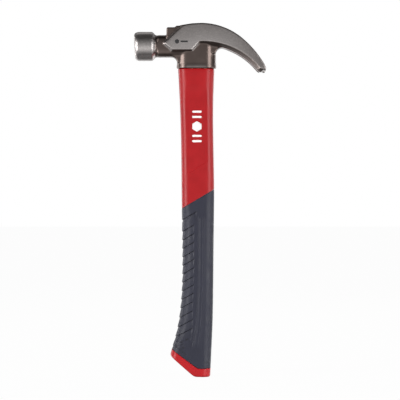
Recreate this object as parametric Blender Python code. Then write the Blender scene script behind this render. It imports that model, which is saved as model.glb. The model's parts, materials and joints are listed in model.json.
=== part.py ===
"""Curved-claw hammer with a forged head and a jacketed fibreglass handle.

The hammer stands on its butt: +Z runs up the handle to the head, -X is the striking face's side,
+X is the claw's side, and Y is the thickness, with the two sides alike.
Sizes are in millimetres, and MM turns a finished mesh into Blender's metres.
"""

import math

import bmesh
import bpy

MM = 0.001

# Gap between pieces that touch on the real hammer
GAP = 0.3

# Poll: a turned barrel with a rounded rim, on a neck that is squared up, all about one axis
POLL_AXIS_Z = 314.65
POLL_RADIUS = 13.87
FACE_X = -62.35
FACE_RADIUS = 10.6
FACE_CANT_DEG = 3.0
RIM_END_X = -57.6
BARREL_END_X = -45.5
NECK_START_X = -42.1
NECK_RADIUS = 10.5
NECK_END_X = -12.0
NECK_BLEND = 2.5
NECK_SQUARENESS = 3.2
POLL_SIDES = 48

# Socket: the skirt round the eye, a rounded rectangle in plan
SOCKET_CENTER_X = -3.35
SOCKET_HALF_LENGTH = 18.55
SOCKET_HALF_DEPTH = 10.9
SOCKET_CORNER = 10.0
SOCKET_BOTTOM_Z = 293.5
SOCKET_TOP_Z = 328.0
LIP_FLARE = 0.4
LIP_HEIGHT = 1.6

# Eye: a hole right through the head, narrowest at its waist
EYE_WAIST_Z = 313.0
EYE_BOTTOM = (13.8, 8.4)
EYE_WAIST = (12.4, 7.7)
EYE_TOP = (13.4, 8.6)
EYE_CORNER = 4.5
EYE_END_Z = 338.0

# Cheeks and claw: one blade, flat on both sides, with a chamfered outline
CHEEK_HALF_DEPTH = 12.7
TINE_HALF_DEPTH = 15.2
CHEEK_CHAMFER = 2.9
UNDERSIDE_CHAMFER = 2.6
CROWN_CHAMFER = 0.7
CROWN_TOP = (0.95, 336.3)
CROWN_FRONT_RADIUS = 86.0
CROWN_RADIUS = 61.0
CROWN_TURN_DEG = 40.4
TIP_RADIUS = 97.0
TIP_TURN_DEG = 21.0
CLAW_CENTER = (3.0, 249.2)
CLAW_FLAT_RADIUS = 70.0
CLAW_UNDER_RADIUS = 66.3
CLAW_END_DEG = 51.5
CLAW_STEPS = 16
CROWN_FRONT_X = -7.5

# Corners of the cheeks and of the tines' cut ends, on the flat sides and on the wider outline
CHEEK_POINT_FLAT = (-33.0, 317.0)
CHEEK_POINT_BASE = (-36.5, 316.8)
CHEEK_TOP_FLAT = (-15.7, 334.0)
CHEEK_TOP_BASE = (-18.9, 334.2)
CHEEK_FOOT_FLAT = ((-25.8, 311.0), (-8.1, 311.0))
CHEEK_FOOT_BASE = ((-27.3, 308.4), (-7.0, 308.4))
FLAT_START_DEG = -3.0
BASE_START_DEG = -1.5
TINE_TOP_FLAT = (61.6, 292.5)
TINE_TOP_BASE = ((62.9, 293.3), (61.9, 289.6))
TINE_FOOT_FLAT = (56.7, 293.6)
TINE_FOOT_BASE = (56.9, 289.2)

# Nail slot between the two tines, measured by the angle about CLAW_CENTER
SLOT_START_DEG = 20.0
SLOT_END_DEG = 60.0
SLOT_START_HALF = 1.0
SLOT_TIP_HALF = 4.6
SLOT_BEVEL = 2.6
SLOT_BEVEL_RADIUS = 71.0
SLOT_INNER_RADIUS = 58.0
SLOT_OUTER_RADIUS = 96.0
SLOT_STEPS = 10
SLOT_ROUND_DEG = (25.0, 60.0, 90.0)
SLOT_MOUTH_FLARE = 0.4

# Nail starter: a stepped block on the neck, grooved for a nail and holding a magnet
STARTER_FRONT_X = -31.9
STARTER_TOP_Z = 332.3
STARTER_CORNER = 1.7
STARTER_STEP_X = -24.0
STEP_TOP_Z = 333.8
STARTER_STEP_RUN = 1.6
STARTER_HALF_DEPTH = 10.2
STARTER_ROOT = ((-17.5, STEP_TOP_Z), (-12.0, 330.0), (-8.0, 330.0))
STARTER_FOOT = ((-8.0, 318.0), (STARTER_FRONT_X, 318.0))
NAIL_GROOVE_RADIUS = 2.4
NAIL_HEAD_HALF = 4.6
NAIL_HEAD_SLOT = 2.2
NAIL_HEAD_SETBACK = 0.6
GROOVE_CLEARANCE = 4.0
GROOVE_STEPS = 12
MAGNET_X = -27.6
MAGNET_RADIUS = 3.0
MAGNET_HEIGHT = 3.0
MAGNET_DROP = 0.1
MAGNET_SIDES = 24

# Fillets of the forging where the neck and the claw meet the socket. Each arc dips a little into
# the walls that it joins, so that it crosses them and doesn't just touch.
FILLET_DIP = 0.25
NECK_FILLET = 5.8
NECK_FILLET_HALF = 8.5
NECK_FILLET_INSIDE = (-15.0, 309.0)
CROTCH_FILLET = 6.0
CROTCH_FILLET_HALF = 9.5
CROTCH_FILLET_INSET = 6.0
CROTCH_FILLET_TOP_Z = 318.0
CROTCH_FILLET_RISE = (0.6, 2.5)

# Core: a straight bar with rounded edges
CORE_CENTER_X = -2.7
CORE_HALF_LENGTH = 9.3
CORE_HALF_DEPTH = 6.2
CORE_CORNER = 4.0
CORE_BOTTOM_Z = 33.0
CORE_TOP_Z = 331.0
RESIN_TOP_Z = 333.9
GASKET_HEIGHT = 3.6

# Handle: height, front edge x, back edge x and half depth at each station, from butt to head
HANDLE_STATIONS = (
    (-6.0, -35.0, 9.0, 13.6),
    (20.0, -28.9, 10.5, 13.8),
    (39.0, -23.2, 11.5, 13.8),
    (60.0, -19.3, 12.2, 13.6),
    (90.0, -17.1, 12.6, 13.2),
    (130.0, -17.0, 13.0, 12.8),
    (178.0, -17.5, 13.5, 11.8),
    (216.0, -17.9, 12.9, 11.0),
    (256.0, -19.0, 12.5, 10.6),
    (SOCKET_BOTTOM_Z - GAP, -20.9, 13.7, 10.4),
)
HANDLE_CORNER = 8.0
HANDLE_HEAD_CORNER = 10.0
HEAD_CORNER_START_Z = 250.0
HEAD_CORNER_END_Z = 284.0
HANDLE_STEP = 12.0
JACKET_OVERLAP = 20.0
GRIP_OVERLAP = 30.0
CAP_BLANK_TOP_Z = 48.0
GRIP_THICKNESS = 2.8
GRIP_TOP_Z = 169.2
GRIP_TOP_X = -2.0
GRIP_TOP_SLOPE_DEG = 30.8
PANEL_CENTER_X = -2.9
PANEL_HALF = 9.6
PANEL_TOP_Z = 276.0
PANEL_BOTTOM_Z = 198.5
PANEL_SLOPE_DEG = 32.0
PANEL_DEPTH = 0.45

# Butt: the slanted end of the handle, and the cap that covers it
BUTT_CORNER = (-29.9, 21.6)
BUTT_HEEL = (-5.6, 0.0)
BUTT_TOE = (10.6, 0.0)
BUTT_ROUND = 3.6
CAP_SLANT_TOP = (-33.0, 31.0)
CAP_SLANT_FOOT = (-1.8, 7.6)
CAP_BACK = (20.0, 8.9)
SPIGOT_BOTTOM_Z = 5.0
SPIGOT_TOP_Z = 29.0
BUTT_REACH = ((-60.0, 60.0), (-35.6, 27.0))
BUTT_FRONT_GUIDE = (-30.0, 40.0)
BUTT_BACK_GUIDE = (10.0, 12.0)
BUTT_BACK_REACH = ((18.0, 12.0), (40.0, 60.0))

CORNER_STEPS = 5
ARC_STEPS = 6

# How far cutters reach past the piece that they cut
OVERSHOOT = 2.0
REGION_HALF_DEPTH = 30.0
REGION_LEFT_X = -50.0
REGION_RIGHT_X = 40.0
REGION_RISE = 10.0


def arc(center, radius, start_deg, end_deg, steps):
    """Points on an arc, its angles turning from the first axis towards the second."""
    points = []
    for i in range(steps + 1):
        angle = math.radians(start_deg + (end_deg - start_deg) * i / steps)
        points.append((center[0] + radius * math.cos(angle), center[1] + radius * math.sin(angle)))
    return points


def rounded_rectangle(center_x, half_x, half_y, corner):
    """Plan outline of a rounded rectangle, its centre on the X axis."""
    corner = min(corner, half_x - 0.1, half_y - 0.1)
    points = []
    for sign_x, sign_y, start in ((1, 1, 0), (-1, 1, 90), (-1, -1, 180), (1, -1, 270)):
        center = (center_x + sign_x * (half_x - corner), sign_y * (half_y - corner))
        points += arc(center, corner, start, start + 90, CORNER_STEPS)
    return points


def smooth_between(stations, z):
    """Values at height z on smooth curves through the stations."""
    last = len(stations) - 1
    i = 0
    while i < last - 1 and z > stations[i + 1][0]:
        i += 1
    low, high = stations[i], stations[i + 1]
    before = stations[max(i - 1, 0)]
    after = stations[min(i + 2, last)]
    span = high[0] - low[0]
    t = (z - low[0]) / span
    values = []
    for k in range(1, len(low)):
        slope_low = (high[k] - before[k]) / (high[0] - before[0])
        slope_high = (after[k] - low[k]) / (after[0] - low[0])
        values.append(
            (2 * t**3 - 3 * t**2 + 1) * low[k]
            + (t**3 - 2 * t**2 + t) * span * slope_low
            + (3 * t**2 - 2 * t**3) * high[k]
            + (t**3 - t**2) * span * slope_high
        )
    return values


def loft(rings):
    """Closed body through rings of points that match one to one, with flat ends."""
    bm = bmesh.new()
    loops = [[bm.verts.new(point) for point in ring] for ring in rings]
    count = len(rings[0])
    for lower, upper in zip(loops, loops[1:]):
        for i in range(count):
            j = (i + 1) % count
            bm.faces.new((lower[i], lower[j], upper[j], upper[i]))
    bm.faces.new(loops[0])
    bm.faces.new(loops[-1])
    bmesh.ops.recalc_face_normals(bm, faces=bm.faces)
    return bm


def upright_loft(sections):
    """Body through plan outlines, each given as its height and its points."""
    return loft([[(x, y, z) for x, y in outline] for z, outline in sections])


def side_prism(outline, half_depth):
    """Body of one side outline, reaching the same depth both ways."""
    bm = bmesh.new()
    face = bm.faces.new([bm.verts.new((x, -half_depth, z)) for x, z in outline])
    grown = bmesh.ops.extrude_face_region(bm, geom=[face])
    moved = [item for item in grown["geom"] if isinstance(item, bmesh.types.BMVert)]
    bmesh.ops.translate(bm, verts=moved, vec=(0, 2 * half_depth, 0))
    bmesh.ops.recalc_face_normals(bm, faces=bm.faces)
    return bm


def finish(name, collection, bm):
    """Object made from a millimetre mesh, smooth where its faces nearly line up."""
    bmesh.ops.scale(bm, vec=(MM, MM, MM), verts=bm.verts)
    mesh = bpy.data.meshes.new(name)
    bm.to_mesh(mesh)
    bm.free()
    mesh.shade_smooth()
    mesh.set_sharp_from_angle(angle=math.radians(30))
    obj = bpy.data.objects.new(name, mesh)
    collection.objects.link(obj)
    return obj


def guide(name, bm):
    """Hidden object that a Boolean joins to a piece or cuts from it."""
    obj = finish(name, guides, bm)
    obj.hide_render = True
    obj.display_type = "WIRE"
    return obj


def boolean(obj, operation, other):
    modifier = obj.modifiers.new(f"{operation.lower()} {other.name}", "BOOLEAN")
    modifier.operation = operation
    modifier.solver = "EXACT"
    modifier.object = other


def paint(obj, color, roughness, metallic):
    material = bpy.data.materials.new(obj.name)
    material.use_nodes = True
    shader = material.node_tree.nodes["Principled BSDF"]
    shader.inputs["Base Color"].default_value = (*color, 1.0)
    shader.inputs["Roughness"].default_value = roughness
    shader.inputs["Metallic"].default_value = metallic
    obj.data.materials.append(material)


def square_neck(bm):
    """Flattens the neck's four sides, starting round where it meets the barrel."""
    for vert in bm.verts:
        rise = (vert.co.z - POLL_AXIS_Z, vert.co.y)
        radius = math.hypot(*rise)
        share = min(max((vert.co.x - NECK_START_X) / NECK_BLEND, 0.0), 1.0)
        if radius == 0.0 or share == 0.0:
            continue
        power = sum(abs(part / radius) ** NECK_SQUARENESS for part in rise)
        factor = 1.0 + share * (power ** (-1 / NECK_SQUARENESS) - 1.0)
        vert.co.z = POLL_AXIS_Z + rise[0] * factor
        vert.co.y = rise[1] * factor


def poll_and_neck():
    """Turned barrel, rim and neck, then the rim sheared so that the face is canted."""
    rim = arc((RIM_END_X, FACE_RADIUS), 1.0, 90, 180, ARC_STEPS)
    rim_length = RIM_END_X - FACE_X
    rim_height = POLL_RADIUS - FACE_RADIUS
    profile = [(NECK_END_X, 0.0), (NECK_END_X, NECK_RADIUS)]
    profile += [(NECK_START_X + NECK_BLEND, NECK_RADIUS), (NECK_START_X, NECK_RADIUS)]
    profile.append((BARREL_END_X, POLL_RADIUS))
    for x, radius in rim:
        along = (x - RIM_END_X) * rim_length
        profile.append((RIM_END_X + along, FACE_RADIUS + (radius - FACE_RADIUS) * rim_height))
    profile.append((FACE_X, 0.0))
    bm = bmesh.new()
    verts = [bm.verts.new((x, 0, POLL_AXIS_Z + radius)) for x, radius in profile]
    edges = [bm.edges.new(pair) for pair in zip(verts, verts[1:])]
    bmesh.ops.spin(
        bm,
        geom=verts + edges,
        cent=(0, 0, POLL_AXIS_Z),
        axis=(1, 0, 0),
        angle=2 * math.pi,
        steps=POLL_SIDES,
        use_merge=True,
    )
    bmesh.ops.remove_doubles(bm, verts=bm.verts, dist=0.001)
    bmesh.ops.recalc_face_normals(bm, faces=bm.faces)
    square_neck(bm)
    for vert in bm.verts:
        share = min(max((RIM_END_X - vert.co.x) / rim_length, 0.0), 1.0)
        vert.co.x -= share * math.tan(math.radians(FACE_CANT_DEG)) * (vert.co.z - POLL_AXIS_Z)
    return bm


def socket():
    wall = rounded_rectangle(SOCKET_CENTER_X, SOCKET_HALF_LENGTH, SOCKET_HALF_DEPTH, SOCKET_CORNER)
    lip = rounded_rectangle(
        SOCKET_CENTER_X,
        SOCKET_HALF_LENGTH + LIP_FLARE,
        SOCKET_HALF_DEPTH + LIP_FLARE,
        SOCKET_CORNER + LIP_FLARE,
    )
    return upright_loft(
        [
            (SOCKET_BOTTOM_Z, lip),
            (SOCKET_BOTTOM_Z + LIP_HEIGHT / 2, lip),
            (SOCKET_BOTTOM_Z + LIP_HEIGHT, wall),
            (SOCKET_TOP_Z, wall),
        ]
    )


def crown_curve(inset):
    """Outer edge of the claw from the crown's top to the tip, moved in by inset."""
    top = (CROWN_TOP[0], CROWN_TOP[1] - CROWN_RADIUS)
    turn = CROWN_TURN_DEG
    join = math.radians(turn)
    reach = TIP_RADIUS - CROWN_RADIUS
    far = (top[0] - reach * math.sin(join), top[1] - reach * math.cos(join))
    half = CLAW_STEPS // 2
    first = arc(top, CROWN_RADIUS - inset, 90, 90 - turn, half)
    second = arc(far, TIP_RADIUS - inset, 90 - turn, 90 - turn - TIP_TURN_DEG, half)
    return first + second[1:]


def crown_front(x, inset):
    """Point on the gentle arc that falls from the crown's top towards the poll."""
    drop = (x - CROWN_TOP[0]) ** 2 / (2 * CROWN_FRONT_RADIUS)
    return (x, CROWN_TOP[1] - drop - inset)


def underside_curve(radius, start_deg):
    return arc(CLAW_CENTER, radius, 90 - start_deg, 90 - CLAW_END_DEG, CLAW_STEPS)


def blade():
    """Cheeks and claw as one body: flat sides joined by chamfers to a wider outline."""
    flat_upper = [CHEEK_TOP_FLAT, crown_front(CROWN_FRONT_X, CROWN_CHAMFER)]
    flat_upper += crown_curve(CROWN_CHAMFER)
    base_upper = [CHEEK_TOP_BASE, crown_front(CROWN_FRONT_X, 0.0)]
    base_upper += crown_curve(0.0)
    flat_lower = [*CHEEK_FOOT_FLAT, *underside_curve(CLAW_FLAT_RADIUS, FLAT_START_DEG)]
    base_lower = [*CHEEK_FOOT_BASE, *underside_curve(CLAW_UNDER_RADIUS, BASE_START_DEG)]
    # The end of the tines is cut level, with the same chamfer turned up over it.
    flat_upper[-1] = TINE_TOP_FLAT
    base_upper[-2:] = TINE_TOP_BASE
    flat_lower[-1] = TINE_FOOT_FLAT
    base_lower[-1] = TINE_FOOT_BASE
    flat = [CHEEK_POINT_FLAT] + flat_upper + flat_lower[::-1]
    base = [CHEEK_POINT_BASE] + base_upper + base_lower[::-1]
    upper_count = len(flat_upper)
    bm = bmesh.new()
    rings = []
    for side in (-1, 1):
        flat_ring = []
        base_ring = []
        for i, ((flat_x, flat_z), (base_x, base_z)) in enumerate(zip(flat, base)):
            k = i - 1 if i <= upper_count else 2 * upper_count - i
            spread = max(k - 1, 0) / (upper_count - 2)
            depth = CHEEK_HALF_DEPTH + (TINE_HALF_DEPTH - CHEEK_HALF_DEPTH) * spread**2
            chamfer = CHEEK_CHAMFER if k < 2 or i == 0 else UNDERSIDE_CHAMFER
            if 1 < i < upper_count:
                chamfer = CROWN_CHAMFER
            flat_ring.append(bm.verts.new((flat_x, side * depth, flat_z)))
            base_ring.append(bm.verts.new((base_x, side * (depth - chamfer), base_z)))
        rings += [flat_ring, base_ring] if side < 0 else [base_ring, flat_ring]
    count = len(flat)
    for lower, upper in zip(rings, rings[1:]):
        for i in range(count):
            j = (i + 1) % count
            bm.faces.new((lower[i], lower[j], upper[j], upper[i]))
    for ring in (rings[0], rings[-1]):
        bm.faces.new((ring[0], ring[1], ring[-1]))
        for k in range(1, upper_count):
            bm.faces.new((ring[k], ring[k + 1], ring[-k - 1], ring[-k]))
    bmesh.ops.recalc_face_normals(bm, faces=bm.faces)
    return bm


def starter_block():
    """Stepped block from the neck up to the crown."""
    corner = (STARTER_FRONT_X + STARTER_CORNER, STARTER_TOP_Z - STARTER_CORNER)
    outline = [*STARTER_FOOT, *arc(corner, STARTER_CORNER, 180, 90, ARC_STEPS)]
    outline += [(STARTER_STEP_X, STARTER_TOP_Z), (STARTER_STEP_X + STARTER_STEP_RUN, STEP_TOP_Z)]
    outline += STARTER_ROOT
    return side_prism(outline, STARTER_HALF_DEPTH)


def neck_fillet():
    reach = NECK_FILLET - FILLET_DIP
    center = (SOCKET_CENTER_X - SOCKET_HALF_LENGTH - reach, POLL_AXIS_Z - NECK_RADIUS - reach)
    inside = NECK_FILLET_INSIDE
    outline = arc(center, NECK_FILLET, 0, 90, ARC_STEPS)
    outline += [(center[0], inside[1]), inside, (inside[0], center[1])]
    return side_prism(outline, NECK_FILLET_HALF)


def crotch_fillet():
    """Fillet that touches the socket's back wall and the claw's round underside."""
    wall_x = SOCKET_CENTER_X + SOCKET_HALF_LENGTH
    center_x = wall_x + CROTCH_FILLET - FILLET_DIP
    reach = CLAW_UNDER_RADIUS - CROTCH_FILLET + FILLET_DIP
    rise = math.sqrt(reach**2 - (center_x - CLAW_CENTER[0]) ** 2)
    touch_deg = math.degrees(math.atan2(rise, center_x - CLAW_CENTER[0]))
    center = (center_x, CLAW_CENTER[1] + rise)
    outline = arc(center, CROTCH_FILLET, 180, touch_deg, ARC_STEPS)
    end_x, end_z = outline[-1]
    inner_x = wall_x - CROTCH_FILLET_INSET
    outline.append((end_x + CROTCH_FILLET_RISE[0], end_z + CROTCH_FILLET_RISE[1]))
    outline += [(inner_x, CROTCH_FILLET_TOP_Z), (inner_x, center[1])]
    return side_prism(outline, CROTCH_FILLET_HALF)


def eye_outline(z, clearance):
    """Plan outline of the eye at height z, drawn in by clearance."""
    if z < EYE_WAIST_Z:
        share = (EYE_WAIST_Z - z) / (EYE_WAIST_Z - SOCKET_BOTTOM_Z)
        end = EYE_BOTTOM
    else:
        share = (z - EYE_WAIST_Z) / (CROWN_TOP[1] - EYE_WAIST_Z)
        end = EYE_TOP
    half_x, half_y = (waist + share * (wide - waist) for waist, wide in zip(EYE_WAIST, end))
    corner = EYE_CORNER - clearance
    return rounded_rectangle(SOCKET_CENTER_X, half_x - clearance, half_y - clearance, corner)


def eye():
    heights = (SOCKET_BOTTOM_Z - OVERSHOOT, EYE_WAIST_Z, EYE_END_Z)
    return upright_loft([(z, eye_outline(z, 0.0)) for z in heights])


def slot_stations():
    """Angle and half width along the nail slot: a round end, then a steady widening."""
    stations = []
    for turn_deg in SLOT_ROUND_DEG:
        turn = math.radians(turn_deg)
        back = SLOT_START_HALF * math.cos(turn) / CLAW_FLAT_RADIUS
        stations.append((SLOT_START_DEG - math.degrees(back), SLOT_START_HALF * math.sin(turn)))
    for i in range(1, SLOT_STEPS + 1):
        share = i / SLOT_STEPS
        degrees = SLOT_START_DEG + (SLOT_END_DEG - SLOT_START_DEG) * share
        stations.append((degrees, SLOT_START_HALF + (SLOT_TIP_HALF - SLOT_START_HALF) * share))
    return stations


def nail_slot():
    """V-shaped cutter bent round the claw, wider on the claw's hollow side."""
    rings = []
    for degrees, half in slot_stations():
        wide = half * (1 + SLOT_BEVEL / SLOT_TIP_HALF + SLOT_MOUTH_FLARE * min(1.0, SLOT_START_HALF / half))
        angle = math.radians(degrees)
        corners = (
            (SLOT_OUTER_RADIUS, -half),
            (SLOT_BEVEL_RADIUS, -half),
            (SLOT_INNER_RADIUS, -wide),
            (SLOT_INNER_RADIUS, wide),
            (SLOT_BEVEL_RADIUS, half),
            (SLOT_OUTER_RADIUS, half),
        )
        rings.append(
            [
                (CLAW_CENTER[0] + r * math.sin(angle), y, CLAW_CENTER[1] + r * math.cos(angle))
                for r, y in corners
            ]
        )
    return loft(rings)


def trough(radius, start_x, end_x):
    """Half-round cutter along X, open upwards, on the nail starter's top."""
    above = STARTER_TOP_Z + GROOVE_CLEARANCE
    section = arc((0.0, STARTER_TOP_Z), radius, 180, 360, GROOVE_STEPS)
    section += [(radius, above), (-radius, above)]
    return loft([[(x, y, z) for y, z in section] for x in (start_x, end_x)])


def nail_groove():
    """Groove that holds the nail's shank."""
    end_x = STARTER_STEP_X + NAIL_HEAD_SETBACK * 2
    return trough(NAIL_GROOVE_RADIUS, STARTER_FRONT_X - OVERSHOOT, end_x)


def nail_head_slot():
    """Cross slot at the groove's end for the nail's head."""
    start_x = STARTER_STEP_X + NAIL_HEAD_SETBACK
    return trough(NAIL_HEAD_HALF, start_x, start_x + NAIL_HEAD_SLOT)


def upright_cylinder(x, radius, bottom, top):
    outline = arc((x, 0.0), radius, 0, 360, MAGNET_SIDES)[:-1]
    return upright_loft([(bottom, outline), (top, outline)])


def magnet_heights():
    top = STARTER_TOP_Z - NAIL_GROOVE_RADIUS - MAGNET_DROP
    return top - MAGNET_HEIGHT, top


def core_outline(clearance):
    half_x = CORE_HALF_LENGTH + clearance
    return rounded_rectangle(CORE_CENTER_X, half_x, CORE_HALF_DEPTH + clearance, CORE_CORNER + clearance)


def core_bar(clearance, bottom, top):
    outline = core_outline(clearance)
    return upright_loft([(bottom, outline), (top, outline)])


def handle_outline(z, inset):
    front, back, half_depth = smooth_between(HANDLE_STATIONS, z)
    half_x = (back - front) / 2 - inset
    share = (z - HEAD_CORNER_START_Z) / (HEAD_CORNER_END_Z - HEAD_CORNER_START_Z)
    corner = HANDLE_CORNER + (HANDLE_HEAD_CORNER - HANDLE_CORNER) * min(max(share, 0.0), 1.0)
    return rounded_rectangle((front + back) / 2, half_x, half_depth - inset, corner - inset)


def handle_body(inset, top):
    """Outer form of the handle, drawn in by inset, from below the butt to the given top."""
    bottom = HANDLE_STATIONS[0][0]
    steps = round((top - bottom) / HANDLE_STEP)
    heights = [bottom + (top - bottom) * i / steps for i in range(steps + 1)]
    return upright_loft([(z, handle_outline(z, inset)) for z in heights])


def grip_top_line(x, lift):
    """Height of the slanted top edge of the grip at x."""
    slope = math.tan(math.radians(GRIP_TOP_SLOPE_DEG))
    return GRIP_TOP_Z + lift + (x - GRIP_TOP_X) * slope


def cap_line(lift):
    """Line where the grip and jacket end and the butt cap begins."""
    return [(x, z + lift) for x, z in (CAP_SLANT_TOP, CAP_SLANT_FOOT, CAP_BACK)]


def corner_round(before, corner, after, radius):
    """Arc that rounds one corner of an outline."""
    to_before = (before[0] - corner[0], before[1] - corner[1])
    to_after = (after[0] - corner[0], after[1] - corner[1])
    unit_before = [value / math.hypot(*to_before) for value in to_before]
    unit_after = [value / math.hypot(*to_after) for value in to_after]
    cosine = unit_before[0] * unit_after[0] + unit_before[1] * unit_after[1]
    half = math.acos(cosine) / 2
    distance = radius / math.tan(half)
    start = [corner[k] + unit_before[k] * distance for k in (0, 1)]
    end = [corner[k] + unit_after[k] * distance for k in (0, 1)]
    points = []
    for i in range(ARC_STEPS + 1):
        t = i / ARC_STEPS
        points.append(
            tuple((1 - t) ** 2 * start[k] + 2 * t * (1 - t) * corner[k] + t**2 * end[k] for k in (0, 1))
        )
    return points


def butt_region():
    """Side outline that the whole handle keeps inside, with the butt's slant and corners."""
    outline = list(BUTT_REACH)
    outline += corner_round(BUTT_FRONT_GUIDE, BUTT_CORNER, BUTT_HEEL, BUTT_ROUND)
    outline += corner_round(BUTT_CORNER, BUTT_HEEL, BUTT_TOE, BUTT_ROUND)
    outline += corner_round(BUTT_HEEL, BUTT_TOE, BUTT_BACK_GUIDE, BUTT_ROUND)
    outline += BUTT_BACK_REACH
    return side_prism(outline, REGION_HALF_DEPTH)


def above_cap(lift, top):
    """Region of the handle above the butt cap, up to a level or slanted top."""
    return side_prism(cap_line(lift) + top, REGION_HALF_DEPTH)


def panel_cutter(side):
    """Shallow panel on one broad face of the jacket, its lower end slanted."""
    slope = math.tan(math.radians(PANEL_SLOPE_DEG))
    left = PANEL_CENTER_X - PANEL_HALF
    right = PANEL_CENTER_X + PANEL_HALF
    outline = [(left, PANEL_BOTTOM_Z - PANEL_HALF * slope), (right, PANEL_BOTTOM_Z + PANEL_HALF * slope)]
    outline += [(right, PANEL_TOP_Z), (left, PANEL_TOP_Z)]
    floors = []
    for x, z in outline:
        floors.append(smooth_between(HANDLE_STATIONS, z)[2] - PANEL_DEPTH)
    inner = [(x, side * floor, z) for (x, z), floor in zip(outline, floors)]
    outer = [(x, side * (floor + OVERSHOOT), z) for (x, z), floor in zip(outline, floors)]
    return loft([inner, outer])


def build_head():
    head = finish("hammer_head", parts, poll_and_neck())
    for name, shape in (
        ("socket", socket()),
        ("blade", blade()),
        ("starter_block", starter_block()),
        ("neck_fillet", neck_fillet()),
        ("crotch_fillet", crotch_fillet()),
    ):
        boolean(head, "UNION", guide(name, shape))
    low, high = magnet_heights()
    for name, shape in (
        ("eye", eye()),
        ("nail_slot", nail_slot()),
        ("nail_groove", nail_groove()),
        ("nail_head_slot", nail_head_slot()),
        ("magnet_pocket", upright_cylinder(MAGNET_X, MAGNET_RADIUS + GAP, low - GAP, high + OVERSHOOT)),
    ):
        boolean(head, "DIFFERENCE", guide(name, shape))
    paint(head, (0.23, 0.21, 0.20), 0.35, 1.0)


def build_magnet():
    low, high = magnet_heights()
    magnet = finish("nail_magnet", parts, upright_cylinder(MAGNET_X, MAGNET_RADIUS, low, high))
    paint(magnet, (0.55, 0.55, 0.56), 0.25, 1.0)


def build_resin():
    bottom = SOCKET_BOTTOM_Z + GASKET_HEIGHT + GAP
    heights = (bottom, EYE_WAIST_Z, RESIN_TOP_Z)
    resin = finish("eye_resin", parts, upright_loft([(z, eye_outline(z, GAP)) for z in heights]))
    bore = guide("resin_bore", core_bar(GAP, bottom - OVERSHOOT, CORE_TOP_Z + GAP))
    boolean(resin, "DIFFERENCE", bore)
    paint(resin, (0.08, 0.075, 0.07), 0.3, 0.0)


def build_gasket():
    heights = (SOCKET_BOTTOM_Z + GAP, SOCKET_BOTTOM_Z + GASKET_HEIGHT)
    gasket = finish("eye_gasket", parts, upright_loft([(z, eye_outline(z, GAP)) for z in heights]))
    bore = guide("gasket_bore", core_bar(GAP, heights[0] - OVERSHOOT, heights[1] + OVERSHOOT))
    boolean(gasket, "DIFFERENCE", bore)
    paint(gasket, (0.03, 0.03, 0.03), 0.8, 0.0)


def build_core():
    core = finish("fiberglass_core", parts, core_bar(0.0, CORE_BOTTOM_Z, CORE_TOP_Z))
    paint(core, (0.62, 0.56, 0.38), 0.45, 0.0)


def build_jacket():
    """Full size above the grip's slanted edge, and drawn in to carry the grip below it."""
    top = HANDLE_STATIONS[-1][0]
    jacket = finish("handle_jacket", parts, handle_body(GRIP_THICKNESS + GAP, top - JACKET_OVERLAP))
    edge = [(x, grip_top_line(x, GAP)) for x in (REGION_LEFT_X, REGION_RIGHT_X)]
    edge += [(REGION_RIGHT_X, top + REGION_RISE), (REGION_LEFT_X, top + REGION_RISE)]
    upper = guide("jacket_upper", handle_body(0.0, top))
    boolean(upper, "INTERSECT", guide("jacket_upper_region", side_prism(edge, REGION_HALF_DEPTH)))
    boolean(jacket, "UNION", upper)
    above = [(CAP_BACK[0], top + REGION_RISE), (CAP_SLANT_TOP[0], top + REGION_RISE)]
    boolean(jacket, "INTERSECT", guide("jacket_region", above_cap(GAP, above)))
    boolean(jacket, "DIFFERENCE", guide("jacket_bore", core_bar(GAP, -REGION_RISE, top + REGION_RISE)))
    for name, side in (("panel_front", -1), ("panel_back", 1)):
        boolean(jacket, "DIFFERENCE", guide(name, panel_cutter(side)))
    paint(jacket, (0.44, 0.018, 0.026), 0.35, 0.0)


def build_grip():
    grip = finish("rubber_grip", parts, handle_body(0.0, GRIP_TOP_Z + GRIP_OVERLAP))
    top = [(x, grip_top_line(x, 0.0)) for x in (CAP_BACK[0], CAP_SLANT_TOP[0])]
    boolean(grip, "INTERSECT", guide("grip_region", above_cap(GAP, top)))
    bore = guide("grip_bore", handle_body(GRIP_THICKNESS, GRIP_TOP_Z + 2 * GRIP_OVERLAP))
    boolean(grip, "DIFFERENCE", bore)
    paint(grip, (0.058, 0.062, 0.078), 0.7, 0.0)


def build_cap():
    cap = finish("butt_cap", parts, handle_body(0.0, CAP_BLANK_TOP_Z))
    boolean(cap, "INTERSECT", guide("butt_region", butt_region()))
    low_left = (CAP_SLANT_TOP[0] - REGION_RISE, -2 * REGION_RISE)
    below = [(CAP_BACK[0], low_left[1]), low_left, (low_left[0], CAP_SLANT_TOP[1])]
    region = side_prism(cap_line(0.0) + below, REGION_HALF_DEPTH)
    boolean(cap, "INTERSECT", guide("cap_region", region))
    boolean(cap, "UNION", guide("spigot", core_bar(0.0, SPIGOT_BOTTOM_Z, SPIGOT_TOP_Z)))
    paint(cap, (0.44, 0.02, 0.03), 0.4, 0.0)


def clear_scene():
    for obj in list(bpy.data.objects):
        bpy.data.objects.remove(obj, do_unlink=True)


def collection_named(name):
    collection = bpy.data.collections.new(name)
    bpy.context.scene.collection.children.link(collection)
    return collection


clear_scene()
parts = collection_named("Hammer")
guides = collection_named("Guides")
build_head()
build_magnet()
build_resin()
build_gasket()
build_core()
build_jacket()
build_grip()
build_cap()
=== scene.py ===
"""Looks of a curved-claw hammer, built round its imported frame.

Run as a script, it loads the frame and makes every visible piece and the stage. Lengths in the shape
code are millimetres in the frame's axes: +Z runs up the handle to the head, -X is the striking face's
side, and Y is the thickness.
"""

import json
import math

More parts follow.
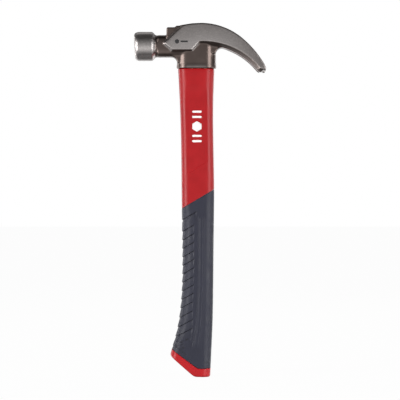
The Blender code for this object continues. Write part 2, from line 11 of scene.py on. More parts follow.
import bmesh
import bpy
from bpy.props import FloatProperty, FloatVectorProperty, IntProperty, PointerProperty
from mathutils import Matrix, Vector
from mathutils.bvhtree import BVHTree


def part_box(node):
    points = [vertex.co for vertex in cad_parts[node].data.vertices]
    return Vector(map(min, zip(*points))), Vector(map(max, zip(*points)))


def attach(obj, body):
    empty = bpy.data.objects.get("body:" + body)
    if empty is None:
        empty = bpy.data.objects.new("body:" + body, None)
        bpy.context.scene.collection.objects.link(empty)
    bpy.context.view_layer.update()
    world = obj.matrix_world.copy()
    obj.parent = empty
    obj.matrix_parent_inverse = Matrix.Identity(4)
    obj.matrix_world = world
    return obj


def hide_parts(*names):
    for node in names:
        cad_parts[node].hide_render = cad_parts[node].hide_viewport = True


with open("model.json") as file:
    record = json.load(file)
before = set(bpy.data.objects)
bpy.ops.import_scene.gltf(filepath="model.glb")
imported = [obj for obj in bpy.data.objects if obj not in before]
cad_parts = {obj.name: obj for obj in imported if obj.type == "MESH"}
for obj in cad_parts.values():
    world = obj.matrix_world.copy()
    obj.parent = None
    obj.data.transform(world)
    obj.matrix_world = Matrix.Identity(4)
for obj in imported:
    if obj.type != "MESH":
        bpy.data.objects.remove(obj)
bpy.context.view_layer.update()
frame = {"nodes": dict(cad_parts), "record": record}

bl_info = {
    "name": "Claw Hammer",
    "version": (1, 0, 0),
    "blender": (4, 5, 0),
    "location": "3D View > Sidebar > Hammer",
    "description": "Builds a forged claw hammer with a jacketed handle and a rubber grip",
    "category": "Object",
}

MM = 0.001
BODY = "root"


def box_mm(node):
    """Lowest and highest corner of a frame node, in millimetres."""
    low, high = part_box(node)
    return low / MM, high / MM


def mount_mm(name):
    """A mount's point, in millimetres."""
    for mount in frame["record"]["mounts"]:
        if mount["name"] == name:
            return Vector(mount["pos_m"]) / MM
    raise RuntimeError(f"the frame has no mount named {name}")


HEAD_LOW, HEAD_HIGH = box_mm("hammer_head")
JACKET_HIGH = box_mm("handle_jacket")[1]
GRIP_LOW = box_mm("rubber_grip")[0]
CAP_HIGH = box_mm("butt_cap")[1]
MAGNET_LOW, MAGNET_HIGH = box_mm("nail_magnet")
MAGNET_X = (MAGNET_LOW.x + MAGNET_HIGH.x) / 2
MAGNET_RADIUS = (MAGNET_HIGH.x - MAGNET_LOW.x) / 2
FACE = mount_mm("striking_face")
CHEEK = mount_mm("cheek_front")

GAP = 0.3

# The head's own datum lines
CROWN_Z = HEAD_HIGH.z
POLL_Z = FACE.z
CHEEK_DEPTH = -CHEEK.y
TINE_DEPTH = HEAD_HIGH.y
SOCKET_Z = JACKET_HIGH.z + GAP
TIP_X = HEAD_HIGH.x


# ---------------------------------------------------------------- settings


class HammerHeadSettings(bpy.types.PropertyGroup):
    poll_radius: FloatProperty(
        name="Poll radius", description="Radius of the striking barrel, in millimetres", default=13.87
    )
    neck_radius: FloatProperty(
        name="Neck radius", description="Radius of the round neck, in millimetres", default=10.5
    )
    voxel: FloatProperty(
        name="Forging detail", description="Finest detail of the forging, in millimetres",
        default=0.5, min=0.3,
    )
    steel_color: FloatVectorProperty(
        name="Ground steel", description="Colour of the ground steel", subtype="COLOR", size=3,
        default=(0.47, 0.44, 0.43), min=0.0, max=1.0,
    )
    lacquer_color: FloatVectorProperty(
        name="Lacquer", description="Colour of the lacquered forging", subtype="COLOR", size=3,
        default=(0.113, 0.088, 0.079), min=0.0, max=1.0,
    )


class HammerHandleSettings(bpy.types.PropertyGroup):
    corner_radius: FloatProperty(
        name="Corner radius", description="Rounding of the handle's long edges, in millimetres", default=8.0
    )
    panel_depth: FloatProperty(
        name="Panel depth", description="Depth of the jacket's long panel, in millimetres", default=0.3
    )
    rib_depth: FloatProperty(
        name="Rib depth", description="Depth of the grip's slanted ribs, in millimetres", default=0.85
    )
    corner_steps: IntProperty(
        name="Corner steps", description="Faces round each long edge of the handle", default=14, min=4
    )
    jacket_color: FloatVectorProperty(
        name="Jacket", description="Colour of the jacket and the butt", subtype="COLOR", size=3,
        default=(0.345, 0.0035, 0.0065), min=0.0, max=1.0,
    )
    grip_color: FloatVectorProperty(
        name="Grip", description="Colour of the rubber grip", subtype="COLOR", size=3,
        default=(0.013, 0.014, 0.029), min=0.0, max=1.0,
    )


class HammerStageSettings(bpy.types.PropertyGroup):
    lens: FloatProperty(name="Lens", description="Focal length of the camera", default=200.0, unit="CAMERA")
    frame_width: FloatProperty(
        name="Framed width", description="Width seen at the hammer, in metres", default=0.38, unit="LENGTH"
    )
    view_height: FloatProperty(
        name="View height", description="Height of the camera, in metres", default=0.16815, unit="LENGTH"
    )
    softbox: FloatProperty(
        name="Softbox", description="Full brightness of a side light, in watts", default=18.0
    )


# ---------------------------------------------------------------- shape helpers


def arc(center, radius, start_deg, end_deg, steps):
    """Points on an arc, its angles turning from the first axis towards the second."""
    points = []
    for i in range(steps + 1):
        angle = math.radians(start_deg + (end_deg - start_deg) * i / steps)
        points.append((center[0] + radius * math.cos(angle), center[1] + radius * math.sin(angle)))
    return points


def smoothstep(low, high, value):
    """0 at low, 1 at high, and smooth between them, whichever of the two is the larger."""
    t = min(max((value - low) / (high - low), 0.0), 1.0)
    return t * t * (3 - 2 * t)


def mix(a, b, share):
    return a + (b - a) * share


def rounded_outline(half_x, half_y, corner, steps):
    """Outline of a rounded rectangle about the origin."""
    points = []
    for sign_x, sign_y, start in ((1, 1, 0), (-1, 1, 90), (-1, -1, 180), (1, -1, 270)):
        center = (sign_x * (half_x - corner), sign_y * (half_y - corner))
        points += arc(center, corner, start, start + 90, steps)
    return points


def wrapped_grid(rows, close_rows=False):
    """Surface through rows of points that match one to one, each row a closed ring.

    A grid is bent onto the rows and sewn along its seam. Open ends are filled, unless
    close_rows sews the last row to the first."""
    rings = [list(row) + [row[0]] for row in rows]
    if close_rows:
        rings.append(rings[0])
    across = len(rings[0]) - 1
    along = len(rings) - 1
    bm = bmesh.new()
    bmesh.ops.create_grid(bm, x_segments=across, y_segments=along, size=1.0)
    for vert in bm.verts:
        i = round((vert.co.x + 1) / 2 * across)
        j = round((vert.co.y + 1) / 2 * along)
        vert.co = rings[j][i]
    bmesh.ops.remove_doubles(bm, verts=bm.verts, dist=1e-4)
    open_edges = [edge for edge in bm.edges if edge.is_boundary]
    if open_edges:
        bmesh.ops.holes_fill(bm, edges=open_edges, sides=0)
    bmesh.ops.recalc_face_normals(bm, faces=bm.faces)
    return bm


def prism(outline, half_depth):
    """Body of one side outline in X and Z, reaching the same depth both ways."""
    bm = bmesh.new()
    face = bm.faces.new([bm.verts.new((x, -half_depth, z)) for x, z in outline])
    grown = bmesh.ops.extrude_face_region(bm, geom=[face])
    moved = [item for item in grown["geom"] if isinstance(item, bmesh.types.BMVert)]
    bmesh.ops.translate(bm, verts=moved, vec=(0, 2 * half_depth, 0))
    bmesh.ops.recalc_face_normals(bm, faces=bm.faces)
    return bm


def disc(radius, low_z, high_z, segments):
    """Upright round disc at the magnet's place."""
    bm = bmesh.new()
    bmesh.ops.create_cone(
        bm, cap_ends=True, segments=segments, radius1=radius, radius2=radius, depth=high_z - low_z
    )
    bmesh.ops.translate(bm, verts=bm.verts, vec=(MAGNET_X, 0, (low_z + high_z) / 2))
    return bm


def bevel_sharp(bm, width, segments, least_deg):
    """Rounds every edge that turns by more than least_deg."""
    least = math.radians(least_deg)
    edges = [edge for edge in bm.edges if edge.is_manifold and edge.calc_face_angle(0.0) > least]
    bmesh.ops.bevel(
        bm, geom=edges, offset=width, segments=segments, affect="EDGES", profile=0.5, material=-1,
        clamp_overlap=True,
    )


def new_object(name, bm, scale=MM):
    """Object from a bmesh in millimetres, shaded smooth all over."""
    bmesh.ops.scale(bm, vec=(scale, scale, scale), verts=bm.verts)
    mesh = bpy.data.meshes.new(name)
    bm.to_mesh(mesh)
    bm.free()
    mesh.shade_smooth()
    obj = bpy.data.objects.new(name, mesh)
    bpy.context.scene.collection.objects.link(obj)
    return obj


def keep_creases(obj, degrees):
    obj.data.set_sharp_from_angle(angle=math.radians(degrees))


def coat(obj, material):
    """Gives an object one finish."""
    obj.data.materials.clear()
    obj.data.materials.append(material)


def add_piece(obj, nodes, material):
    """A finished piece: its finish, its body, and the frame nodes that it stands for."""
    coat(obj, material)
    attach(obj, BODY)
    if nodes:
        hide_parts(*nodes)


# ---------------------------------------------------------------- shader helpers


def new_group(name, inputs, outputs):
    """Empty shader group with named sockets, each given as (name, type, default)."""
    group = bpy.data.node_groups.new(name, "ShaderNodeTree")
    for socket_name, kind, default in inputs:
        socket = group.interface.new_socket(name=socket_name, in_out="INPUT", socket_type=kind)
        socket.default_value = default
    for socket_name, kind in outputs:
        group.interface.new_socket(name=socket_name, in_out="OUTPUT", socket_type=kind)
    enter = group.nodes.new("NodeGroupInput")
    leave = group.nodes.new("NodeGroupOutput")
    return group, enter, leave


def set_inputs(tree, sockets, values):
    """Gives each socket its value, or links it to the output given in the value's place."""
    for socket, value in zip(sockets, values):
        if isinstance(value, bpy.types.NodeSocket):
            tree.links.new(value, socket)
        else:
            socket.default_value = value


def product(tree, first, second):
    """Output of two masks or heights multiplied, kept between 0 and 1."""
    node = tree.nodes.new("ShaderNodeMath")
    node.operation = "MULTIPLY"
    node.use_clamp = True
    set_inputs(tree, node.inputs, (first, second))
    return node.outputs[0]


def grain_group():
    """Noise stretched by an axis scale: a fine height and a mask between 0 and 1."""
    if "Surface Grain" in bpy.data.node_groups:
        return bpy.data.node_groups["Surface Grain"]
    group, enter, leave = new_group(
        "Surface Grain",
        [
            ("Stretch", "NodeSocketVector", (1.0, 1.0, 1.0)),
            ("Scale", "NodeSocketFloat", 900.0),
            ("Detail", "NodeSocketFloat", 4.0),
        ],
        [("Height", "NodeSocketFloat"), ("Mask", "NodeSocketFloat")],
    )
    coords = group.nodes.new("ShaderNodeTexCoord")
    stretch = group.nodes.new("ShaderNodeVectorMath")
    stretch.operation = "MULTIPLY"
    noise = group.nodes.new("ShaderNodeTexNoise")
    ramp = group.nodes.new("ShaderNodeMapRange")
    ramp.inputs["From Min"].default_value = 0.35
    ramp.inputs["From Max"].default_value = 0.65
    group.links.new(coords.outputs["Object"], stretch.inputs[0])
    group.links.new(enter.outputs["Stretch"], stretch.inputs[1])
    group.links.new(stretch.outputs[0], noise.inputs["Vector"])
    group.links.new(enter.outputs["Scale"], noise.inputs["Scale"])
    group.links.new(enter.outputs["Detail"], noise.inputs["Detail"])
    group.links.new(noise.outputs["Fac"], ramp.inputs["Value"])
    group.links.new(noise.outputs["Fac"], leave.inputs["Height"])
    group.links.new(ramp.outputs["Result"], leave.inputs["Mask"])
    return group


def wear_group():
    """Mask of the edges that handling rubs: proud edges, broken up by a coarse noise."""
    if "Edge Wear" in bpy.data.node_groups:
        return bpy.data.node_groups["Edge Wear"]
    group, enter, leave = new_group(
        "Edge Wear",
        [
            ("Start", "NodeSocketFloat", 0.53),
            ("Full", "NodeSocketFloat", 0.58),
            ("Patch Scale", "NodeSocketFloat", 180.0),
        ],
        [("Mask", "NodeSocketFloat")],
    )
    geometry = group.nodes.new("ShaderNodeNewGeometry")
    coords = group.nodes.new("ShaderNodeTexCoord")
    noise = group.nodes.new("ShaderNodeTexNoise")
    noise.inputs["Detail"].default_value = 5.0
    edge = group.nodes.new("ShaderNodeMapRange")
    group.links.new(geometry.outputs["Pointiness"], edge.inputs["Value"])
    group.links.new(enter.outputs["Start"], edge.inputs["From Min"])
    group.links.new(enter.outputs["Full"], edge.inputs["From Max"])
    group.links.new(coords.outputs["Object"], noise.inputs["Vector"])
    group.links.new(enter.outputs["Patch Scale"], noise.inputs["Scale"])
    patches = product(group, noise.outputs["Fac"], 1.6)
    worn = product(group, edge.outputs["Result"], patches)
    group.links.new(worn, leave.inputs["Mask"])
    return group


def place_group(tree, group, **values):
    """A group in a material's tree, its inputs named with _ for a space."""
    node = tree.nodes.new("ShaderNodeGroup")
    node.node_tree = group
    for name, value in values.items():
        node.inputs[name.replace("_", " ")].default_value = value
    return node


def mixed(tree, kind, share, first, second):
    """Output of two colours (RGBA) or two values (FLOAT) mixed by a share."""
    node = tree.nodes.new("ShaderNodeMix")
    node.data_type = kind
    pair = (node.inputs[6], node.inputs[7]) if kind == "RGBA" else (node.inputs[2], node.inputs[3])
    set_inputs(tree, (node.inputs[0], *pair), (share, first, second))
    return node.outputs[2] if kind == "RGBA" else node.outputs[0]


def new_material(name):
    material = bpy.data.materials.new(name)
    material.use_nodes = True
    tree = material.node_tree
    return material, tree, tree.nodes["Principled BSDF"]


def bump(tree, shader, heights):
    """Chains bumps, each given as (height, strength, distance in millimetres)."""
    normal = None
    for height, strength, distance in heights:
        node = tree.nodes.new("ShaderNodeBump")
        node.inputs["Strength"].default_value = strength
        node.inputs["Distance"].default_value = distance * MM
        tree.links.new(height, node.inputs["Height"])
        if normal is not None:
            tree.links.new(normal, node.inputs["Normal"])
        normal = node.outputs["Normal"]
    tree.links.new(normal, shader.inputs["Normal"])


def scaled(color, factor):
    return tuple(min(channel * factor, 1.0) for channel in color) + (1.0,)


def tinted(tree, mask, color, low, high):
    """The colour, varied between two brightnesses of itself."""
    return mixed(tree, "RGBA", mask, scaled(color, low), scaled(color, high))


def feed(tree, shader, color, roughness):
    tree.links.new(color, shader.inputs["Base Color"])
    tree.links.new(roughness, shader.inputs["Roughness"])


def steel_material(settings):
    """Ground steel and dark lacquer on one forging, told apart by an attribute that also carries painted
    shade.
    """
    material, tree, shader = new_material("Forged steel")
    ground_and_shade = tree.nodes.new("ShaderNodeAttribute")
    ground_and_shade.attribute_name = "ground_and_shade"
    brushed = place_group(tree, grain_group(), Stretch=(0.12, 1.0, 1.0), Scale=2600.0, Detail=3.0)
    cloudy = place_group(tree, grain_group(), Scale=70.0, Detail=4.0)
    peel = place_group(tree, grain_group(), Scale=650.0, Detail=2.0)
    speckle = place_group(tree, grain_group(), Stretch=(0.7, 1.0, 1.0), Scale=1100.0, Detail=1.0)
    wear = place_group(tree, wear_group(), Start=0.53, Full=0.58)
    steel = tinted(tree, brushed.outputs["Mask"], settings.steel_color, 0.88, 1.06)
    steel = mixed(tree, "RGBA", speckle.outputs["Mask"], steel, scaled(settings.steel_color, 0.8))
    lacquer = tinted(tree, cloudy.outputs["Mask"], settings.lacquer_color, 0.9, 1.08)
    worn = product(tree, wear.outputs["Mask"], 0.12)
    lacquer = mixed(tree, "RGBA", worn, lacquer, scaled(settings.steel_color, 0.9))
    satin = mixed(tree, "FLOAT", brushed.outputs["Mask"], 0.28, 0.36)
    gloss = mixed(tree, "FLOAT", cloudy.outputs["Mask"], 0.28, 0.34)
    # The attribute mixes lacquer and steel; its lower values on the sides towards crown and tips, on the
    # claw's underside and on the upper chamfers are painted shade.
    steel_share_and_shade = ground_and_shade.outputs["Fac"]
    feed(tree, shader, mixed(tree, "RGBA", steel_share_and_shade, lacquer, steel), mixed(tree, "FLOAT", steel_share_and_shade, gloss, satin))
    shader.inputs["Metallic"].default_value = 1.0
    scratch = product(tree, brushed.outputs["Height"], steel_share_and_shade)
    bump(tree, shader, [(peel.outputs["Height"], 0.12, 0.06), (scratch, 0.12, 0.02)])
    return material


def plastic_material(name, color, roughness, rub):
    """Moulded plastic: faint mottle, orange peel, and edges rubbed pale by the given share."""
    material, tree, shader = new_material(name)
    cloudy = place_group(tree, grain_group(), Scale=90.0, Detail=3.0)
    peel = place_group(tree, grain_group(), Scale=1300.0, Detail=2.0)
    wear = place_group(tree, wear_group(), Start=0.53, Full=0.6, Patch_Scale=120.0)
    base = tinted(tree, cloudy.outputs["Mask"], color, 0.95, 1.05)
    rubbed = product(tree, wear.outputs["Mask"], rub)
    pale = tuple(mix(channel, 0.6, 0.25) for channel in color) + (1.0,)
    feed(
        tree, shader, mixed(tree, "RGBA", rubbed, base, pale),
        mixed(tree, "FLOAT", cloudy.outputs["Mask"], roughness - 0.04, roughness + 0.05),
    )
    shader.inputs["Specular IOR Level"].default_value = 0.3
    bump(tree, shader, [(peel.outputs["Height"], 0.1, 0.05)])
    return material


def rubber_material(settings):
    """Matt moulded rubber with a fine stipple, and painted shade at the ribs' walls and in the small
    grooves.
    """
    material, tree, shader = new_material("Grip rubber")
    cloudy = place_group(tree, grain_group(), Scale=110.0, Detail=4.0)
    stipple = place_group(tree, grain_group(), Scale=2200.0, Detail=2.0)
    wear = place_group(tree, wear_group(), Start=0.52, Full=0.58, Patch_Scale=140.0)
    painted_shade = tree.nodes.new("ShaderNodeAttribute")
    painted_shade.attribute_name = "painted_shade"
    color = settings.grip_color
    base = tinted(tree, cloudy.outputs["Mask"], color, 0.93, 1.08)
    rubbed = product(tree, wear.outputs["Mask"], 0.6)
    base = mixed(tree, "RGBA", rubbed, base, scaled(color, 1.7))
    # Painted shade: the colour darkens to a third of itself where the painted shade attribute is set.
    base = mixed(tree, "RGBA", painted_shade.outputs["Fac"], base, scaled(color, 0.3))
    feed(tree, shader, base, mixed(tree, "FLOAT", cloudy.outputs["Mask"], 0.5, 0.6))
    shader.inputs["Specular IOR Level"].default_value = 0.45
    bump(tree, shader, [(stipple.outputs["Height"], 0.25, 0.08)])
    return material


def simple_material(name, color, roughness, metallic, scale):
    """Finish of a small piece: mottled colour and a matching bump."""
    material, tree, shader = new_material(name)
    cloudy = place_group(tree, grain_group(), Scale=scale, Detail=4.0)
    mask = cloudy.outputs["Mask"]
    feed(
        tree, shader, tinted(tree, mask, color, 0.85, 1.12),
        mixed(tree, "FLOAT", mask, roughness * 0.85, roughness * 1.15),
    )
    shader.inputs["Metallic"].default_value = metallic
    bump(tree, shader, [(cloudy.outputs["Height"], 0.15, 0.1)])
    return material


def fiberglass_material():
    """Pultruded bar: long glass strands in a yellowish resin."""
    material, tree, shader = new_material("Fibreglass")
    strands = place_group(tree, grain_group(), Stretch=(1.0, 1.0, 0.02), Scale=1500.0, Detail=3.0)
    resin = mixed(
        tree, "RGBA", strands.outputs["Mask"], (0.5, 0.43, 0.24, 1.0), (0.74, 0.68, 0.5, 1.0)
    )
    tree.links.new(resin, shader.inputs["Base Color"])
    shader.inputs["Roughness"].default_value = 0.4
    bump(tree, shader, [(strands.outputs["Height"], 0.3, 0.05)])
    return material


# ---------------------------------------------------------------- the head

# Poll profile
BARREL_END_X = -45.5
NECK_START_X = -42.1
NECK_END_X = -12.0
NECK_SQUARENESS = 3.8
NECK_BLEND = 2.5
NECK_FLARE = 0.35
SHOULDER_ROUND = (0.4, 0.3)
RIM_LENGTH = 4.75
RIM_HEIGHT = 3.3
FACE_CROWN = 0.25
FACE_CANT_DEG = 3.0
FACE_STEPS = 6
POLL_STEPS = 128

# Socket and eye
SOCKET_CENTER_X = -3.35
SOCKET_HALF = (18.55, 10.9)
SOCKET_CORNER = 10.0
SOCKET_TOP_Z = 328.0
# Lip at the socket's foot: height above the foot, and how far the wall stands out
SOCKET_LIP = ((0.0, 0.05), (0.35, 0.4), (1.2, 0.36), (5.0, 0.0))
EYE_BOTTOM = (13.8, 8.4)
EYE_WAIST = (12.4, 7.7)
EYE_TOP = (13.4, 8.6)
EYE_WAIST_Z = 313.0
EYE_CORNER = 4.5

# Fillets under the neck and under the claw, each sunk a little into what it joins
NECK_FILLET_RADIUS = 5.8
NECK_FILLET_HALF = 8.5
NECK_FILLET_INSIDE = (-15.0, 309.0)
CROTCH_FILLET_RADIUS = 6.0
CROTCH_FILLET_HALF = 9.5
CROTCH_FILLET_TOP_Z = 318.0
FILLET_DIP = 0.25
FILLET_STEPS = 12
WALL_OVERLAP = 6.0

# Claw and cheeks
CROWN_X = 0.95
CROWN_FRONT_RADIUS = 86.0
CROWN_RADIUS = 61.0
CROWN_TURN_DEG = 40.4
TIP_RADIUS = 97.0
TIP_TURN_DEG = 21.0
CLAW_CENTER = (3.0, 249.2)
CLAW_FLAT_RADIUS = 70.0
CLAW_UNDER_RADIUS = 66.3
CLAW_END_DEG = 51.5
CLAW_STEPS = 48
CLAW_FLAT_START_DEG = 93.0
CLAW_UNDER_START_DEG = 91.5
CHEEK_CHAMFER = 2.9
UNDERSIDE_CHAMFER = 2.6
CROWN_CHAMFER = 0.7

# Corners of the cheek, along its flat side and, past the chamfer, along its middle
CHEEK_FRONT_X = -7.5
FLAT_UPPER = ((-33.0, 317.0), (-15.7, 334.0))
MIDDLE_UPPER = ((-36.5, 316.8), (-18.9, 334.2))
FLAT_LOWER = ((-33.0, 317.0), (-25.8, 311.0), (-8.1, 311.0))
MIDDLE_LOWER = ((-36.5, 316.8), (-27.3, 308.4), (-7.0, 308.4))

# End of the tines, cut level, with the same chamfer turned up over it
TIP_FLAT_UPPER = (TIP_X - 1.3, 292.5)
TIP_MIDDLE_UPPER = ((TIP_X, 293.3), (TIP_X - 1.0, 289.6))
TIP_FLAT_LOWER = (TIP_X - 6.2, 293.6)
TIP_MIDDLE_LOWER = (TIP_X - 6.0, HEAD_LOW.z)

# Share of bare steel on each ground part, lowered as painted shade on the claw's underside and the upper
# chamfers, and painted shade that darkens the sides towards crown and tips
UNDERSIDE_SHADED_SHARE = 0.5
LOWER_CHAMFER_SHINE = 0.8
UPPER_CHAMFER_SHADED_SHARE = 0.45
SIDE_SHINE = 0.93
SIDE_CROWN_PAINTED_SHADE = 0.2
SIDE_TIP_PAINTED_SHADE = 0.33
SIDE_HEIGHT = 16.0

# Rounding of the ground sides, by the radius about CLAW_CENTER
DOME_EDGE = (10.9, 12.0)
DOME_RADIUS = 68.0
DOME_REACH = 20.0
DOME_DROP = 1.3

# Nail slot, by the angle about CLAW_CENTER
SLOT_START_DEG = 20.0
SLOT_END_DEG = 60.0
SLOT_START_HALF = 1.0
SLOT_TIP_HALF = 4.6
SLOT_BEVEL = 2.6
SLOT_RADII = (58.0, 71.0, 96.0)
SLOT_STEPS = 24
SLOT_END_TURNS_DEG = (12.0, 40.0, 65.0, 90.0)
SLOT_EXTRA = 0.4

# Nail starter
STARTER_FRONT_X = -31.9
STARTER_TOP_Z = 332.3
STARTER_STEP_X = -24.0
STEP_TOP_Z = 333.8
STEP_SLOPE_LENGTH = 1.6
STARTER_BACK = ((-17.5, STEP_TOP_Z), (-12.0, 330.0), (-8.0, 330.0))
STARTER_FOOT_Z = 318.0
STARTER_ROUND = 1.7
STARTER_HALF = 10.25
GROOVE_RADIUS = 2.4
NAIL_HEAD_HALF = 4.6
NAIL_HEAD_X = (STARTER_STEP_X + 0.6, STARTER_STEP_X + 2.8)
POCKET_RISE = 2.3

# Soft hollows of the forging, and the claw, as ranges of X, Y and Z
NECK_CORNER = ((-30.0, -12.0), (-11.5, 11.5), (296.5, 309.5))
CROTCH = ((8.0, 26.0), (-99.0, 99.0), (303.0, 315.5))
CLAW = ((24.0, 99.0), (-99.0, 99.0), (0.0, 999.0))
EVERYWHERE = ((-999.0, 999.0),) * 3
SOFTENING = ((NECK_CORNER, 14), (CROTCH, 8), (CLAW, 3), (EVERYWHERE, 5))
GROUND_BLUR = 2
# How alike a point's normal and the exact surface's must be for the point to be set back on it
FACING = (0.92, 0.985)


def poll_shape(settings):
    """Turned barrel, rim and neck, then the rim sheared so that the face is canted."""
    radius = settings.poll_radius
    face_radius = radius - RIM_HEIGHT
    rim_x = FACE.x + RIM_LENGTH
    neck = settings.neck_radius
    along, across = SHOULDER_ROUND
    profile = [(NECK_END_X, 0.0), (NECK_END_X, neck), (NECK_START_X + NECK_BLEND + 0.1, neck)]
    profile += [(NECK_START_X + 0.5, neck), (NECK_START_X - 0.3, neck + NECK_FLARE)]
    profile += [(BARREL_END_X + along, radius - across), (BARREL_END_X - along, radius)]
    for turn_deg in (*range(90, 170, 10), 180):
        turn = math.radians(turn_deg)
        x = rim_x + RIM_LENGTH * math.cos(turn)
        profile.append((x, face_radius + RIM_HEIGHT * math.sin(turn)))
    for step in range(1, FACE_STEPS + 1):
        share = 1 - step / FACE_STEPS
        profile.append((FACE.x - FACE_CROWN * (1 - share**2), face_radius * share))
    bm = bmesh.new()
    verts = [bm.verts.new((x, 0, POLL_Z + r)) for x, r in profile]
    edges = [bm.edges.new(pair) for pair in zip(verts, verts[1:])]
    bmesh.ops.spin(
        bm, geom=verts + edges, cent=(0, 0, POLL_Z), axis=(1, 0, 0), angle=2 * math.pi,
        steps=POLL_STEPS, use_merge=True,
    )
    bmesh.ops.remove_doubles(bm, verts=bm.verts, dist=0.001)
    bmesh.ops.recalc_face_normals(bm, faces=bm.faces)
    square_neck(bm)
    for vert in bm.verts:
        share = min(max((rim_x - vert.co.x) / RIM_LENGTH, 0.0), 1.0)
        vert.co.x -= share * math.tan(math.radians(FACE_CANT_DEG)) * (vert.co.z - POLL_Z)
    return bm


def square_neck(bm):
    """Flattens the neck's four sides, fading to round where it meets the barrel."""
    for vert in bm.verts:
        rise = (vert.co.z - POLL_Z, vert.co.y)
        radius = math.hypot(*rise)
        if radius < 1.0:
            continue
        power = sum(abs(part / radius) ** NECK_SQUARENESS for part in rise)
        share = smoothstep(NECK_START_X, NECK_START_X + NECK_BLEND, vert.co.x)
        factor = mix(1.0, power ** (-1 / NECK_SQUARENESS), share)
        vert.co.z = POLL_Z + rise[0] * factor
        vert.co.y = rise[1] * factor


def plan_ring(half, corner, z, steps=12):
    """Level ring round the socket's middle line."""
    return [(SOCKET_CENTER_X + x, y, z) for x, y in rounded_outline(*half, corner, steps)]


def socket_shape():
    """Skirt round the eye, with a small rolled lip at its foot."""
    rows = []
    for rise, lip in SOCKET_LIP:
        half = (SOCKET_HALF[0] + lip, SOCKET_HALF[1] + lip)
        rows.append(plan_ring(half, SOCKET_CORNER + lip, SOCKET_Z + rise))
    rows.append(plan_ring(SOCKET_HALF, SOCKET_CORNER, SOCKET_TOP_Z))
    return wrapped_grid(rows)


def crown_curve(inset):
    """Outer edge of the claw from the crown's top to the tip, moved in by inset."""
    top = (CROWN_X, CROWN_Z - CROWN_RADIUS)
    join = math.radians(CROWN_TURN_DEG)
    reach = TIP_RADIUS - CROWN_RADIUS
    far = (top[0] - reach * math.sin(join), top[1] - reach * math.cos(join))
    half = CLAW_STEPS // 2
    end_deg = 90 - CROWN_TURN_DEG - TIP_TURN_DEG
    first = arc(top, CROWN_RADIUS - inset, 90, 90 - CROWN_TURN_DEG, half)
    second = arc(far, TIP_RADIUS - inset, 90 - CROWN_TURN_DEG, end_deg, half)
    return first + second[1:]


def crown_front(x, inset):
    """Point on the gentle arc that falls from the crown's top towards the poll."""
    return (x, CROWN_Z - (x - CROWN_X) ** 2 / (2 * CROWN_FRONT_RADIUS) - inset)


def tine_depth(share):
    """Half thickness over the blade, widening from the cheeks to the tips of the claw."""
    return CHEEK_DEPTH + (TINE_DEPTH - CHEEK_DEPTH) * share**2


def blade_shape():
    """Cheeks and claw: sections of eight corners, from the cheek's point to the tips."""
    end_deg = 90 - CLAW_END_DEG
    flat_upper = [*FLAT_UPPER, crown_front(CHEEK_FRONT_X, CROWN_CHAMFER), *crown_curve(CROWN_CHAMFER)]
    flat_upper[-1] = TIP_FLAT_UPPER
    middle_upper = [*MIDDLE_UPPER, crown_front(CHEEK_FRONT_X, 0.0), *crown_curve(0.0)]
    middle_upper[-2:] = TIP_MIDDLE_UPPER
    flat_lower = [*FLAT_LOWER]
    flat_lower += arc(CLAW_CENTER, CLAW_FLAT_RADIUS, CLAW_FLAT_START_DEG, end_deg, CLAW_STEPS)
    flat_lower[-1] = TIP_FLAT_LOWER
    middle_lower = [*MIDDLE_LOWER]
    middle_lower += arc(CLAW_CENTER, CLAW_UNDER_RADIUS, CLAW_UNDER_START_DEG, end_deg, CLAW_STEPS)
    middle_lower[-1] = TIP_MIDDLE_LOWER
    rows = []
    last = len(flat_upper) - 1
    cheek_rows = len(FLAT_UPPER)
    for k in range(last + 1):
        depth = tine_depth(max(k - cheek_rows, 0) / (last - cheek_rows))
        upper_cut = CHEEK_CHAMFER if k < cheek_rows else CROWN_CHAMFER
        if k == last:
            upper_cut = UNDERSIDE_CHAMFER
        lower_cut = CHEEK_CHAMFER if k < len(FLAT_LOWER) else UNDERSIDE_CHAMFER
        upper = [(flat_upper[k], -depth), (middle_upper[k], upper_cut - depth)]
        lower = [(flat_lower[k], depth), (middle_lower[k], depth - lower_cut)]
        near = upper + [(place, -y) for place, y in reversed(upper)]
        far = lower + [(place, -y) for place, y in reversed(lower)]
        rows.append([(x, y, z) for (x, z), y in near + far])
    return wrapped_grid(rows)


def starter_shape():
    """Stepped block from the neck up to the crown."""
    corner = (STARTER_FRONT_X + STARTER_ROUND, STARTER_TOP_Z - STARTER_ROUND)
    outline = [(STARTER_BACK[-1][0], STARTER_FOOT_Z), (STARTER_FRONT_X, STARTER_FOOT_Z)]
    outline += arc(corner, STARTER_ROUND, 180, 90, 6)
    outline += [(STARTER_STEP_X, STARTER_TOP_Z), (STARTER_STEP_X + STEP_SLOPE_LENGTH, STEP_TOP_Z)]
    return prism([*outline, *STARTER_BACK], STARTER_HALF)


def neck_fillet_shape(settings):
    """Web under the neck that runs down into the socket's front wall."""
    reach = NECK_FILLET_RADIUS - FILLET_DIP
    center = (SOCKET_CENTER_X - SOCKET_HALF[0] - reach, POLL_Z - settings.neck_radius - reach)
    inside_x, inside_z = NECK_FILLET_INSIDE
    outline = arc(center, NECK_FILLET_RADIUS, 0, 90, FILLET_STEPS)
    outline += [(center[0], inside_z), (inside_x, inside_z), (inside_x, center[1])]
    return prism(outline, NECK_FILLET_HALF)


